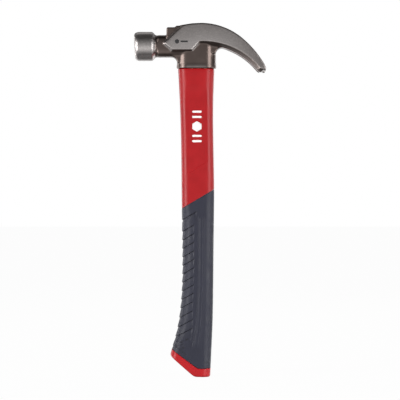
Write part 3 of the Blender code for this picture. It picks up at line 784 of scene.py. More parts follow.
def crotch_fillet_shape():
    """Fillet that joins the socket's back wall to the claw's round underside."""
    wall_x = SOCKET_CENTER_X + SOCKET_HALF[0]
    center_x = wall_x + CROTCH_FILLET_RADIUS - FILLET_DIP
    reach = CLAW_UNDER_RADIUS - CROTCH_FILLET_RADIUS + FILLET_DIP
    rise = math.sqrt(reach**2 - (center_x - CLAW_CENTER[0]) ** 2)
    touch_deg = math.degrees(math.atan2(rise, center_x - CLAW_CENTER[0]))
    center = (center_x, CLAW_CENTER[1] + rise)
    outline = arc(center, CROTCH_FILLET_RADIUS, 180, touch_deg, FILLET_STEPS)
    touch_x, touch_z = outline[-1]
    outline += [(touch_x + 0.6, touch_z + 2.5), (wall_x - WALL_OVERLAP, CROTCH_FILLET_TOP_Z)]
    outline += [(wall_x - WALL_OVERLAP, center[1])]
    return prism(outline, CROTCH_FILLET_HALF)


def eye_shape():
    """Cutter for the eye, narrowed at its waist."""
    rows = []
    for half, z in ((EYE_BOTTOM, SOCKET_Z - 3.0), (EYE_WAIST, EYE_WAIST_Z), (EYE_TOP, CROWN_Z + 2.0)):
        rows.append(plan_ring(half, EYE_CORNER, z, steps=8))
    return wrapped_grid(rows)


def slot_shape():
    """V-shaped cutter bent round the claw, wider on the claw's hollow side."""
    stations = []
    for turn_deg in SLOT_END_TURNS_DEG:
        turn = math.radians(turn_deg)
        back = math.degrees(SLOT_START_HALF * math.cos(turn) / CLAW_FLAT_RADIUS)
        stations.append((SLOT_START_DEG - back, SLOT_START_HALF * math.sin(turn)))
    for step in range(1, SLOT_STEPS + 1):
        share = step / SLOT_STEPS
        stations.append(
            (mix(SLOT_START_DEG, SLOT_END_DEG, share), mix(SLOT_START_HALF, SLOT_TIP_HALF, share))
        )
    inner, middle, outer = SLOT_RADII
    rows = []
    for degrees, half in stations:
        wide = half * (1 + SLOT_BEVEL / SLOT_TIP_HALF) + SLOT_EXTRA * min(half, SLOT_START_HALF)
        side = math.sin(math.radians(degrees))
        up = math.cos(math.radians(degrees))
        section = [(outer, -half), (middle, -half), (inner, -wide)]
        section += [(radius, -y) for radius, y in reversed(section)]
        rows.append([(CLAW_CENTER[0] + r * side, y, CLAW_CENTER[1] + r * up) for r, y in section])
    return wrapped_grid(rows)


def trough(radius, start_x, end_x, steps):
    """Half-round cutter along X, open upwards, on the starter's top."""
    above = STARTER_TOP_Z + 4.0
    section = arc((0.0, STARTER_TOP_Z), radius, 180, 360, steps) + [(radius, above), (-radius, above)]
    return wrapped_grid([[(x, y, z) for y, z in section] for x in (start_x, end_x)])


def combined(base, joined, cut, voxel):
    """Base with the other shapes joined and cut: its evenly remeshed mesh, and its exact surface."""
    helpers = []
    for operation, shapes in (("UNION", joined), ("DIFFERENCE", cut)):
        for index, shape in enumerate(shapes):
            helper = new_object(f"helper_{operation.lower()}_{index}", shape)
            modifier = base.modifiers.new(helper.name, "BOOLEAN")
            modifier.operation = operation
            modifier.solver = "EXACT"
            modifier.object = helper
            helpers.append(helper)
    exact = BVHTree.FromObject(base, bpy.context.evaluated_depsgraph_get())
    remesh = base.modifiers.new("Even grid", "REMESH")
    remesh.mode = "VOXEL"
    remesh.voxel_size = voxel * MM
    graph = bpy.context.evaluated_depsgraph_get()
    mesh = bpy.data.meshes.new_from_object(base.evaluated_get(graph))
    for helper in helpers + [base]:
        bpy.data.objects.remove(helper)
    return mesh, exact


def lies_in(point, region):
    return all(low < part < high for part, (low, high) in zip(point, region))


def soften(bm, region, rounds):
    """Relaxes the points of a region."""
    verts = [vert for vert in bm.verts if lies_in(vert.co / MM, region)]
    for _ in range(rounds):
        bmesh.ops.smooth_vert(
            bm, verts=verts, factor=0.5, use_axis_x=True, use_axis_y=True, use_axis_z=True
        )


def true_up(bm, exact):
    """Puts points back on the exact surface, except along its edges and in its soft hollows."""
    bm.normal_update()
    for vert in bm.verts:
        point = vert.co / MM
        if lies_in(point, NECK_CORNER) or lies_in(point, CROTCH):
            continue
        place, normal, _, _ = exact.find_nearest(vert.co)
        vert.co = vert.co.lerp(place, smoothstep(*FACING, vert.normal.dot(normal)))


def claw_radius(x, z):
    return math.hypot(x - CLAW_CENTER[0], z - CLAW_CENTER[1])


def dome_drop(x, z):
    """How far a ground side falls away from flat at a point of its outline."""
    radius = claw_radius(x, z)
    return DOME_DROP * (max(radius - DOME_RADIUS, 0.0) / DOME_REACH) ** 2


def dome_sides(bm):
    """Grinds the cheeks and the claw's sides slightly round, falling away to the crown."""
    for vert in bm.verts:
        x, y, z = vert.co / MM
        if x > NECK_START_X:
            vert.co.y -= math.copysign(dome_drop(x, z) * smoothstep(*DOME_EDGE, abs(y)) * MM, y)


def ground_and_shade_share(point, normal):
    """Bare steel at a point of the head: 1 where it is ground, 0 under lacquer, and lower where shade is
    painted on the sides towards crown and tips, on the claw's underside and on the upper chamfers.
    """
    x, y, z = point
    slope = abs(normal.y)
    reach = max(x - CROWN_X, 0.0) / (TIP_X - CROWN_X)
    flat = abs(y) - tine_depth(reach)
    on_side = smoothstep(-1.7, -1.2, flat)
    rise = min(max((claw_radius(x, z) - CLAW_FLAT_RADIUS) / SIDE_HEIGHT, 0.0), 1.0)
    barrel = smoothstep(NECK_START_X - 0.2, NECK_START_X - 1.0, x)
    side = on_side * smoothstep(0.88, 0.96, slope)
    # Painted shade: the ground sides darken towards the crown and towards the tips.
    side *= SIDE_SHINE - SIDE_CROWN_PAINTED_SHADE * rise - SIDE_TIP_PAINTED_SHADE * smoothstep(25.0, 60.0, x)
    # Painted shade: the claw's down-facing underside gets only half the bare steel.
    claw = smoothstep(17.0, 22.0, x) * mix(UNDERSIDE_SHADED_SHARE, 1.0, smoothstep(-0.25, 0.0, normal.z))
    claw *= 1 - smoothstep(0.6, 0.95, slope) * on_side
    lower = smoothstep(0.1, 0.3, -normal.z) * smoothstep(0.2, 0.4, abs(normal.x))
    lower *= smoothstep(-2.5, -1.8, flat + CHEEK_CHAMFER * 0.2)
    lower *= smoothstep(0.0, -3.0, x) * smoothstep(-38.0, -36.0, x)
    crown = smoothstep(-2.0, 12.0, x) * smoothstep(0.4, 0.7, normal.z)
    # Painted shade: the upper chamfers take less bare steel than the lower ones.
    upper = smoothstep(0.25, 0.45, -normal.x) * smoothstep(0.1, 0.25, normal.z)
    upper *= smoothstep(0.3, 0.5, slope) * smoothstep(-36.5, -35.0, x) * smoothstep(-2.8, -2.0, flat)
    return max(barrel, side, claw, crown, LOWER_CHAMFER_SHINE * lower, UPPER_CHAMFER_SHADED_SHARE * upper)


def mark_ground_and_shade(bm):
    """Attribute that tells ground steel from lacquer, with painted shade in it."""
    layer = bm.verts.layers.float.new("ground_and_shade")
    for vert in bm.verts:
        vert[layer] = ground_and_shade_share(vert.co / MM, vert.normal)


def blur_ground_and_shade(bm, rounds):
    """Spreads the attribute over neighbouring points, so that its borders are soft."""
    layer = bm.verts.layers.float["ground_and_shade"]
    for _ in range(rounds):
        means = []
        for vert in bm.verts:
            near = [edge.other_vert(vert)[layer] for edge in vert.link_edges]
            means.append((vert[layer] + sum(near)) / (1 + len(near)))
        for vert, mean in zip(bm.verts, means):
            vert[layer] = mean


def head_mesh(settings):
    """The whole forging as one mesh, ground and softened."""
    base = new_object("head_base", poll_shape(settings))
    joined_shapes = [socket_shape(), blade_shape(), starter_shape()]
    joined_shapes += [neck_fillet_shape(settings), crotch_fillet_shape()]
    cut_shapes = [
        eye_shape(),
        slot_shape(),
        trough(GROOVE_RADIUS, STARTER_FRONT_X - 2.0, STARTER_STEP_X + 1.2, 16),
        trough(NAIL_HEAD_HALF, *NAIL_HEAD_X, 20),
        disc(MAGNET_RADIUS + GAP, MAGNET_LOW.z - GAP, MAGNET_HIGH.z + POCKET_RISE, 40),
    ]
    mesh, exact = combined(base, joined_shapes, cut_shapes, settings.voxel)
    bm = bmesh.new()
    bm.from_mesh(mesh)
    for region, rounds in SOFTENING:
        soften(bm, region, rounds)
    true_up(bm, exact)
    soften(bm, EVERYWHERE, 1)
    dome_sides(bm)
    bm.normal_update()
    mark_ground_and_shade(bm)
    blur_ground_and_shade(bm, GROUND_BLUR)
    bm.to_mesh(mesh)
    bm.free()
    mesh.shade_smooth()
    return mesh


class HAMMER_OT_head(bpy.types.Operator):
    """Forge the head: poll, neck, nail starter, cheeks, socket and claw"""

    bl_idname = "hammer.head"
    bl_label = "Head"

    def execute(self, context):
        settings = context.scene.hammer_head
        mesh = head_mesh(settings)
        mesh.name = "forged_head"
        head = bpy.data.objects.new("forged_head", mesh)
        context.scene.collection.objects.link(head)
        add_piece(head, ["hammer_head"], steel_material(settings))
        return {"FINISHED"}


class HAMMER_OT_eye(bpy.types.Operator):
    """Fill the eye: magnet, cast resin, gasket and core"""

    bl_idname = "hammer.eye"
    bl_label = "Eye and magnet"

    def execute(self, context):
        bm = disc(MAGNET_RADIUS, MAGNET_LOW.z, MAGNET_HIGH.z, 48)
        bevel_sharp(bm, 0.35, 3, 60)
        magnet = new_object("magnet_disc", bm)
        keep_creases(magnet, 50)
        add_piece(
            magnet, ["nail_magnet"],
            simple_material("Magnet plating", (0.6, 0.6, 0.61), 0.22, 1.0, 900.0),
        )
        finishes = {
            "eye_resin": simple_material("Cast epoxy", (0.07, 0.065, 0.06), 0.25, 0.0, 260.0),
            "eye_gasket": simple_material("Gasket rubber", (0.03, 0.03, 0.03), 0.8, 0.0, 500.0),
            "fiberglass_core": fiberglass_material(),
        }
        for node, material in finishes.items():
            coat(frame["nodes"][node], material)
        return {"FINISHED"}


# ---------------------------------------------------------------- the handle

GRIP_SLOPE = math.tan(math.radians(30.8))
GRIP_TOP = (-2.0, 169.2)
LEVELLING_Z = (214.0, 284.0)
GRIP_THICKNESS = 2.8
JOINT_GAP = 0.05
CROWN_FLAT = 0.04
CROWN_REACH = 0.3
JACKET_CROWN = 0.45
GRIP_CROWN = 0.4
GRIP_CROWN_FOOT_Z = (6.0, 30.0)
JACKET_CORNER_CUT = 1.2
FACET_DROP = 1.9
FACET_POWER = 1.4
FACET_FOOT_Z = (22.0, 44.0)
PANEL_TOP_Z = 276.0
PANEL_SHARES = (0.2, 0.79)
PANEL_BLEND = 0.035
HEAD_CORNER_GAIN = 2.0
HEAD_CORNER_Z = (250.0, 284.0)
PANEL_FOOT = (-2.9, 198.5)
PANEL_SLOPE = math.tan(math.radians(32.0))

# Rows of the grip: the first level, where they bend to the cap's line, and their spacing
GRIP_FOOT_LEVEL = 27.0
GRIP_BEND_LEVEL = 44.0
LOW_ROWS_Z = 48.0
LOW_ROW_STEP = 0.38
ROW_STEP = 1.2

# Ribs of the grip: heights at the front edge of their slanted shadow lines
RIB_SLOPE = 0.57
RIB_FIRST_Z = 149.5
RIB_TOP_Z = 138.3
RIB_PITCH = 8.08
RIB_LOW_PITCH = 9.0
RIB_COUNT = 10
RIB_LOW_COUNT = 4
RIB_EDGE_SHARE = 0.387
RIB_EDGE_LOW_SHARE = 0.455
RIB_EDGE_TURN_Z = (38.0, 72.0)
RIB_FIRST_REACH = 0.08
RIB_FOOT = 4.0
RIB_HOLLOW = 1.3
RIB_END_WALL = 0.04
RIB_WALL = 0.06

# Two fine ridges down each broad side of the grip
RIDGE_SHARES = (0.5, 0.645)
RIDGE_WIDTH = 0.1
RIDGE_HEIGHTS = (0.5, 0.24)
RIDGE_CREST = 0.16
RIDGE_SWINGS = (0.005, 0.01)
RIDGE_SWING_Z = (70.0, 30.0)
RIDGE_TOP_Z = 153.0
RIDGE_FOOT_Z = 27.0

# Small moulded grooves near the butt: start, end, half width and depth
GRIP_MARKS = (
    ((-15.6, 27.8), (-17.6, 31.2), 0.55, 0.4),
    ((-22.4, 29.8), (-13.0, 21.2), 0.5, 0.3),
    ((3.6, 13.9), (7.6, 14.1), 0.5, 0.35),
)

# Butt: the line where the cap begins, and the cap's own outline
CAP_SLANT_TOP = (-33.0, 31.0)
CAP_SLANT_FOOT = (-1.8, 7.6)
CAP_BACK = (20.0, 8.9)
BUTT_CORNER = (-29.9, 21.6)
BUTT_HEEL = (-5.6, 0.0)
BUTT_ROUND = 2.0
CAP_BEND = 1.2
BUTT_BEND = 1.6
CAP_LIP = 0.35
CAP_WALL_ROWS = 7
CAP_ROUND_ROWS = 8
SPIGOT_SKIN = 7.0

# Points across the broad side: marks as shares of the width, and faces between them
JACKET_FLATS = ((0.29, 0.36, 0.5, 0.64, 0.71), (3, 4, 4, 3))
GRIP_FLATS = (
    (0.275, 0.36, 0.39, 0.48, 0.494, 0.53, 0.637, 0.675, 0.725),
    (9, 6, 12, 2, 9, 9, 9, 6),
)
CAP_FLATS = ((0.29, 0.71), (16,))

# Broken edges of the pieces: rise or drop from the edge, and how far the row is set in
JACKET_STEP = ((0.012, 0.4), (0.0176, 0.12), (0.2, 0.04))
JACKET_TOP_EDGE = ((0.7, 0.1), (0.25, 0.35), (0.0, 0.8))
GRIP_FOOT_EDGE = ((0.0, 0.9), (0.0, 0.35), (0.12, 0.1))
GRIP_TOP_EDGE = ((0.3, 0.02), (0.08, 0.1), (0.0, 0.3))
CAP_EDGE = ((0.0, 4.5), (0.0, 0.6), (0.08, 0.15), (CAP_LIP, 0.0))
CAP_BRIGHTNESS = 1.22

HANDLE_NODES = ("handle_jacket", "rubber_grip")
WIDTH_COUNT = 19
DEPTH_HEIGHTS = (CAP_HIGH.z, 60.0, 95.0, 130.0, 165.0, 187.0, PANEL_TOP_Z + 4.0, JACKET_HIGH.z - 0.5)
INNER_ROWS = 12

trees = {}


def hit(nodes, origin, direction):
    """Nearest point of the given frame nodes along a ray, in millimetres."""
    graph = bpy.context.evaluated_depsgraph_get()
    best = None
    for node in nodes:
        if node not in trees:
            trees[node] = BVHTree.FromObject(frame["nodes"][node], graph)
        place, _, _, distance = trees[node].ray_cast(Vector(origin) * MM, Vector(direction))
        if place is not None and (best is None or distance < best[1]):
            best = (place / MM, distance)
    if best is None:
        raise RuntimeError(f"no surface of {nodes} at {origin}")
    return best[0]


def width_stations():
    """Front and back edge of the handle, read off the frame at even heights."""
    rows = []
    low, high = CAP_HIGH.z, JACKET_HIGH.z - 0.5
    for i in range(WIDTH_COUNT):
        z = mix(low, high, i / (WIDTH_COUNT - 1))
        front = hit(HANDLE_NODES, (-200, 0, z), (1, 0, 0)).x
        back = hit(HANDLE_NODES, (200, 0, z), (-1, 0, 0)).x
        rows.append((z, front, back))
    return rows


def depth_stations():
    """Half depth of the handle, read off the frame where no panel is sunk in it."""
    middle = (JACKET_HIGH.x + GRIP_LOW.x) / 2 + 2.0
    return [(z, -hit(HANDLE_NODES, (middle, -200, z), (0, 1, 0)).y) for z in DEPTH_HEIGHTS]


def smooth_between(stations, z):
    """Values at height z on smooth curves through the stations, straight past their ends."""
    last = len(stations) - 1
    if z <= stations[0][0] or z >= stations[last][0]:
        first, second = stations[:2] if z <= stations[0][0] else stations[-2:]
        share = (z - first[0]) / (second[0] - first[0])
        return [mix(a, b, share) for a, b in zip(first[1:], second[1:])]
    i = 0
    while z > stations[i + 1][0]:
        i += 1
    low, high = stations[i], stations[i + 1]
    before = stations[max(i - 1, 0)]
    after = stations[min(i + 2, last)]
    span = high[0] - low[0]
    t = (z - low[0]) / span
    values = []
    for k in range(1, len(low)):
        slope_low = (high[k] - before[k]) / (high[0] - before[0])
        slope_high = (after[k] - low[k]) / (after[0] - low[0])
        values.append(
            (2 * t**3 - 3 * t**2 + 1) * low[k]
            + (t**3 - 2 * t**2 + t) * span * slope_low
            + (3 * t**2 - 2 * t**3) * high[k]
            + (t**3 - t**2) * span * slope_high
        )
    return values


WIDTHS = width_stations()
DEPTHS = depth_stations()


def side_points(corner_steps, shares):
    """Half of a ring, from the front edge round the near side to the back edge.

    Each point is ("corner", 0 or 1, angle) or ("flat", share of the width)."""
    turns = [90.0 * i / corner_steps for i in range(corner_steps + 1)]
    points = [("corner", 0, turn) for turn in turns]
    points += [("flat", share) for share in shares]
    return points + [("corner", 1, turn) for turn in turns]


def handle_point(spec, z, inset, corner):
    """A point of the near side of the handle's form at height z, and its share of the width."""
    front, back = smooth_between(WIDTHS, z)
    depth = smooth_between(DEPTHS, z)[0]
    width = back - front
    front, back, depth = front + inset, back - inset, depth - inset
    corner = max(corner + HEAD_CORNER_GAIN * smoothstep(*HEAD_CORNER_Z, z) - inset, 1.0)
    if spec[0] == "flat":
        x = front - inset + spec[1] * width
        return x, -depth, spec[1]
    angle = math.radians(spec[2])
    if spec[1] == 0:
        x = front + corner * (1 - math.cos(angle))
        y = -(depth - corner + corner * math.sin(angle))
    else:
        x = back - corner * (1 - math.sin(angle))
        y = -(depth - corner + corner * math.cos(angle))
    return x, y, (x - front + inset) / width


def ring(specs, height_of, inset, corner, relief=None, fall=None):
    """Whole ring of the handle: the near side and its mirror image.

    height_of(x) gives the height at x, relief(x, z, share) how far the surface sinks, and
    fall(z, share) how far it comes in towards the middle plane."""
    near = []
    for spec in specs:
        z = height_of(0.0)
        for _ in range(4):
            x, y, share = handle_point(spec, z, inset, corner)
            z = height_of(x)
        sink = relief(x, z, share) if relief else 0.0
        if sink:
            x, y = sunk(spec, x, y, sink)
        near.append((x, y + (fall(z, share) if fall else 0.0), z))
    far = [(x, -y, z) for x, y, z in reversed(near)]
    return near + far


def crown_fall(share, amount):
    """How far the broad side comes in towards its long edges."""
    return amount * min(max((abs(share - 0.5) - CROWN_FLAT) / CROWN_REACH, 0.0), 1.0) ** 2


def sunk(spec, x, y, sink):
    """The point moved into the handle, square to its surface."""
    if spec[0] == "flat":
        return x, y + sink
    angle = math.radians(spec[2])
    if spec[1] == 0:
        return x + sink * math.cos(angle), y + sink * math.sin(angle)
    return x - sink * math.sin(angle), y + sink * math.cos(angle)


def spread(marks, counts):
    """Values from mark to mark, each stretch divided evenly into its count."""
    values = []
    for low, high, count in zip(marks, marks[1:], counts):
        values += [mix(low, high, i / count) for i in range(count)]
    return values + [marks[-1]]


def skinned(name, rows, crease_deg, close_rows=False):
    """Object through finished rings, with the sharper edges kept."""
    obj = new_object(name, wrapped_grid(rows, close_rows))
    keep_creases(obj, crease_deg)
    return obj


def jacket_height(level):
    """Row shape of the jacket: slanted with the grip's edge low down, level at the head."""
    slope = GRIP_SLOPE * (1 - smoothstep(*LEVELLING_Z, level))
    return lambda x: min(level + (x - GRIP_TOP[0]) * slope, JACKET_HIGH.z)


def jacket_relief(depth):
    """Long panel on each broad side, cut off at its foot by a slanted step."""

    def relief(x, z, share):
        left, right = (smoothstep(at - PANEL_BLEND, at + PANEL_BLEND, share) for at in PANEL_SHARES)
        foot = PANEL_FOOT[1] + (x - PANEL_FOOT[0]) * PANEL_SLOPE
        along = smoothstep(foot - 0.25, foot + 0.25, z)
        along *= 1 - smoothstep(PANEL_TOP_Z - 6.0, PANEL_TOP_Z + 2.0, z)
        return depth * left * (1 - right) * along

    return relief


def jacket_levels(edge):
    """Levels of the rows, close together at the panel's foot and head."""
    foot = PANEL_FOOT[1] + (GRIP_TOP[0] - PANEL_FOOT[0]) * PANEL_SLOPE
    marks = [edge + 0.6, foot - 2.0, foot - 0.5, foot + 0.5, foot + 2.0]
    marks += [PANEL_TOP_Z - 8.0, PANEL_TOP_Z + 3.0, JACKET_HIGH.z - 1.2]
    return spread(marks, (14, 3, 8, 3, 40, 12, 5))


def jacket_fall(z, share):
    """The jacket's broad side is crowned, and flat again where it enters the socket."""
    return crown_fall(share, JACKET_CROWN) * (1 - smoothstep(JACKET_HIGH.z - 30.0, JACKET_HIGH.z, z))


class HAMMER_OT_jacket(bpy.types.Operator):
    """Mould the jacket over the core, full size above the grip and slimmer below it"""

    bl_idname = "hammer.jacket"
    bl_label = "Jacket"

    def execute(self, context):
        settings = context.scene.hammer_handle
        corner = settings.corner_radius - JACKET_CORNER_CUT
        specs = side_points(settings.corner_steps, spread(*JACKET_FLATS))
        relief = jacket_relief(settings.panel_depth)
        edge = GRIP_TOP[1] + JOINT_GAP
        rows = []
        for level in spread((CAP_HIGH.z + 4.0, edge), (INNER_ROWS,)):
            rows.append(ring(specs, slanted(level), GRIP_THICKNESS + GAP, corner))
        for rise, inset in JACKET_STEP:
            rows.append(ring(specs, slanted(edge + rise), inset, corner, fall=jacket_fall))
        for level in jacket_levels(edge):
            rows.append(ring(specs, jacket_height(level), 0.0, corner, relief, jacket_fall))
        for drop, inset in JACKET_TOP_EDGE:
            rows.append(ring(specs, jacket_height(JACKET_HIGH.z - drop), inset, corner))
        jacket = skinned("red_jacket", rows, 50)
        material = plastic_material("Jacket plastic", settings.jacket_color, 0.34, 0.35)
        add_piece(jacket, ["handle_jacket"], material)
        return {"FINISHED"}


def slanted(level):
    """Row shape that runs parallel to the grip's top edge."""
    return lambda x: level + (x - GRIP_TOP[0]) * GRIP_SLOPE


def cap_line(x):
    """Height of the line where the grip ends and the cap begins, rounded at its bend."""
    (x0, z0), (x1, z1), (x2, z2) = CAP_SLANT_TOP, CAP_SLANT_FOOT, CAP_BACK
    left = z1 + (x - x1) * (z0 - z1) / (x0 - x1)
    right = z1 + (x - x1) * (z2 - z1) / (x2 - x1)
    return (left + right + math.hypot(left - right, CAP_BEND)) / 2


def above_cap(rise):
    """Row shape that follows the cap's line at a height above it."""
    return lambda x: cap_line(x) + rise


def rib_lines():
    """Heights of the ribs' shadow lines at the front edge, from the top down."""
    lines = [RIB_FIRST_Z]
    lines += [RIB_TOP_Z - RIB_PITCH * i for i in range(RIB_COUNT)]
    lines += [lines[-1] - RIB_LOW_PITCH * (i + 1) for i in range(RIB_LOW_COUNT)]
    return lines


def rib_edge(z):
    """Share of the width where the ribs end, further back near the butt."""
    return mix(RIB_EDGE_LOW_SHARE, RIB_EDGE_SHARE, smoothstep(*RIB_EDGE_TURN_Z, z))


def grip_height(level):
    """Row shape of the grip: slanted like the ribs, and bent to the cap's line at the foot."""
    top = GRIP_TOP[1] - 6.0
    slope = mix(RIB_SLOPE, GRIP_SLOPE, smoothstep(RIB_FIRST_Z + 6.0, top, level))
    front = smooth_between(WIDTHS, level)[0]

    def height(x):
        z = level + (x - front) * slope
        floor = cap_line(x) + GAP
        if level < GRIP_BEND_LEVEL:
            share = 1 - (level - GRIP_FOOT_LEVEL) / (GRIP_BEND_LEVEL - GRIP_FOOT_LEVEL)
            z = mix(z, floor, smoothstep(0.35, 1.0, share))
        return max(z, floor)

    return height


def rib_level(x, z):
    """Height at the front edge of the slanted line through a point."""
    front = smooth_between(WIDTHS, z)[0]
    return z - (x - front) * RIB_SLOPE


def rib_sink(x, z, share, depth):
    """Saw tooth: deepest just below each shadow line, flush again at the next one down."""
    lines = rib_lines()
    level = rib_level(x, z)
    for index, (upper, lower) in enumerate(zip(lines, lines[1:] + [lines[-1] - RIB_FOOT])):
        if lower < level <= upper:
            part = (upper - level) / (upper - lower)
            edge = rib_edge(z) + (RIB_FIRST_REACH if index == 0 else 0.0)
            inside = 1 - smoothstep(edge - RIB_END_WALL, edge, share)
            if index == 0:
                inside *= 1 - 0.7 * smoothstep(0.12, 0.3, part)
            return depth * smoothstep(0.0, RIB_WALL, part) * (1 - part) ** RIB_HOLLOW * inside
    return 0.0


def ridge_sink(z, share):
    """Two fine ridges down each broad side, each steep on its left and gentle on its right."""
    total = 0.0
    along = smoothstep(RIDGE_FOOT_Z, RIDGE_FOOT_Z + 5.0, z)
    along *= 1 - smoothstep(RIDGE_TOP_Z - 3.0, RIDGE_TOP_Z, z)
    for left, height in zip(ridge_shares(z), RIDGE_HEIGHTS):
        part = (share - left) / RIDGE_WIDTH
        if 0 < part < 1:
            rounded = smoothstep(0.0, RIDGE_CREST, part) * (1 - smoothstep(RIDGE_CREST, 1.0, part))
            total += height * along * rounded
    return -total


def ridge_shares(z):
    """Places of the two ridges, as shares of the width, moving forward near the butt."""
    swing = smoothstep(*RIDGE_SWING_Z, z)
    return [share - move * swing for share, move in zip(RIDGE_SHARES, RIDGE_SWINGS)]


def grip_fall(z, share):
    """The grip's broad side is crowned, and its ribbed third rounds away to the front edge."""
    above = smoothstep(RIB_FIRST_Z + 4.0, GRIP_TOP[1] - 6.0, z)
    along = smoothstep(*FACET_FOOT_Z, z) * (1 - above)
    facet = FACET_DROP * max(1 - share / rib_edge(z), 0.0) ** FACET_POWER
    crown = crown_fall(share, GRIP_CROWN) * smoothstep(*GRIP_CROWN_FOOT_Z, z)
    return facet * along + crown


def scratch_depth(x, z, start, end, half_width, depth):
    """Depth of a narrow moulded groove that runs from start to end."""
    along = Vector(end) - Vector(start)
    share = min(max((Vector((x, z)) - Vector(start)).dot(along) / along.length_squared, 0.0), 1.0)
    gap = (Vector((x, z)) - Vector(start) - along * share).length
    return depth * (1 - smoothstep(half_width * 0.4, half_width, gap))


def grip_relief(depth):
    """All that is sunk into the grip's outer surface."""

    def relief(x, z, share):
        sink = rib_sink(x, z, share, depth) + ridge_sink(z, share)
        for start, end, half_width, mark_depth in GRIP_MARKS:
            sink += scratch_depth(x, z, start, end, half_width, mark_depth)
        return sink

    return relief


def paint_rib_shade(obj):
    """Attribute of painted shade: 1 at the foot of each rib's wall and in the small grooves, where shade
    falls.
    """
    mesh = obj.data
    layer = mesh.attributes.new("painted_shade", "FLOAT", "POINT")
    lines = rib_lines()
    for vert, value in zip(mesh.vertices, layer.data):
        x, _, z = vert.co / MM
        front, back = smooth_between(WIDTHS, z)
        share = (x - front) / (back - front)
        edge = rib_edge(z)
        level = rib_level(x, z)
        dark = 0.0
        for index, line in enumerate(lines):
            reach = edge + (RIB_FIRST_REACH if index == 0 else 0.0)
            below = line - level
            # Painted shade in a band just below each rib's line, where its wall's shadow falls.
            near = smoothstep(-0.1, 0.15, below) * (1 - smoothstep(0.45, 1.05, below))
            dark = max(dark, near * (1 - smoothstep(reach - 0.01, reach, share)))
        for start, end, half_width, _ in GRIP_MARKS:
            # Painted shade in the small grooves too.
            dark = max(dark, scratch_depth(x, z, start, end, half_width * 1.2, 0.8))
        value.value = dark


def grip_levels():
    """Levels of the rows, close together where a rib drops away."""
    marks = [GRIP_FOOT_LEVEL + 0.4]
    for line in reversed(rib_lines()):
        marks += [line - 1.6, line - 0.45, line, line + 0.5]
    front = smooth_between(WIDTHS, GRIP_TOP[1])[0]
    marks.append(GRIP_TOP[1] + (front - GRIP_TOP[0]) * GRIP_SLOPE - 0.9)
    counts = []
    for low, high in zip(marks, marks[1:]):
        step = LOW_ROW_STEP if high < LOW_ROWS_Z else ROW_STEP
        counts.append(max(1, round((high - low) / step)) if high - low > 1.3 else 3)
    return spread(marks, counts)


class HAMMER_OT_grip(bpy.types.Operator):
    """Mould the rubber grip, ribbed round its front edge"""

    bl_idname = "hammer.grip"
    bl_label = "Grip"

    def execute(self, context):
        settings = context.scene.hammer_handle
        corner = settings.corner_radius
        specs = side_points(settings.corner_steps, spread(*GRIP_FLATS))
        relief = grip_relief(settings.rib_depth)
        rows = []
        for rise, inset in GRIP_FOOT_EDGE:
            rows.append(ring(specs, above_cap(GAP + rise), inset, corner, fall=grip_fall))
        for level in grip_levels():
            rows.append(ring(specs, grip_height(level), 0.0, corner, relief, grip_fall))
        for drop, inset in GRIP_TOP_EDGE:
            rows.append(ring(specs, slanted(GRIP_TOP[1] - drop), inset, corner, fall=grip_fall))
        for level in spread((GRIP_TOP[1], CAP_HIGH.z + 12.0), (INNER_ROWS,)):
            rows.append(ring(specs, slanted(level), GRIP_THICKNESS, corner))
        rows.append(ring(specs, above_cap(GAP), GRIP_THICKNESS, corner))
        grip = skinned("ribbed_grip", rows, 60, close_rows=True)
        # Paints shade at the ribs' walls and in the small grooves.
        paint_rib_shade(grip)
        add_piece(grip, ["rubber_grip"], rubber_material(settings))
        return {"FINISHED"}


def butt_line(x):
    """Height of the butt's lowest outline: slanted at the front, level at the heel."""
    slope = (BUTT_CORNER[1] - BUTT_HEEL[1]) / (BUTT_CORNER[0] - BUTT_HEEL[0])
    slant = BUTT_HEEL[1] + (x - BUTT_HEEL[0]) * slope
    return (slant + math.hypot(slant, BUTT_BEND)) / 2


def above_butt(rise):
    """Row shape that follows the butt's outline at a height above it."""
    return lambda x: butt_line(x) + rise


def cap_wall(share):
    """Row shape part of the way down from the cap's lip to its rounded foot."""
    return lambda x: mix(cap_line(x) - CAP_LIP, butt_line(x) + BUTT_ROUND, share)


class HAMMER_OT_cap(bpy.types.Operator):
    """Close the handle with its slanted butt cap"""

    bl_idname = "hammer.cap"
    bl_label = "Butt cap"

    def execute(self, context):
        settings = context.scene.hammer_handle
        corner = settings.corner_radius
        specs = side_points(settings.corner_steps, spread(*CAP_FLATS))
        rows = [ring(specs, lambda x: CAP_HIGH.z, SPIGOT_SKIN, corner)]
        for drop, inset in CAP_EDGE:
            rows.append(ring(specs, above_cap(-drop), inset, corner))
        for i in range(1, CAP_WALL_ROWS):
            rows.append(ring(specs, cap_wall(i / CAP_WALL_ROWS), 0.0, corner))
        for i in range(CAP_ROUND_ROWS + 1):
            turn = math.radians(90 * i / CAP_ROUND_ROWS)
            inset = BUTT_ROUND * (1 - math.cos(turn))
            rows.append(ring(specs, above_butt(BUTT_ROUND * (1 - math.sin(turn))), inset, corner))
        last = rows[-1]
        for squeeze in (0.75, 0.5, 0.25, 0.0):
            rows.append([(x, y * squeeze, z) for x, y, z in last])
        cap = skinned("butt_end", rows, 50)
        color = [channel * CAP_BRIGHTNESS for channel in settings.jacket_color]
        material = plastic_material("Cap plastic", color, 0.38, 0.08)
        add_piece(cap, ["butt_cap"], material)
        return {"FINISHED"}


# ---------------------------------------------------------------- printed marks

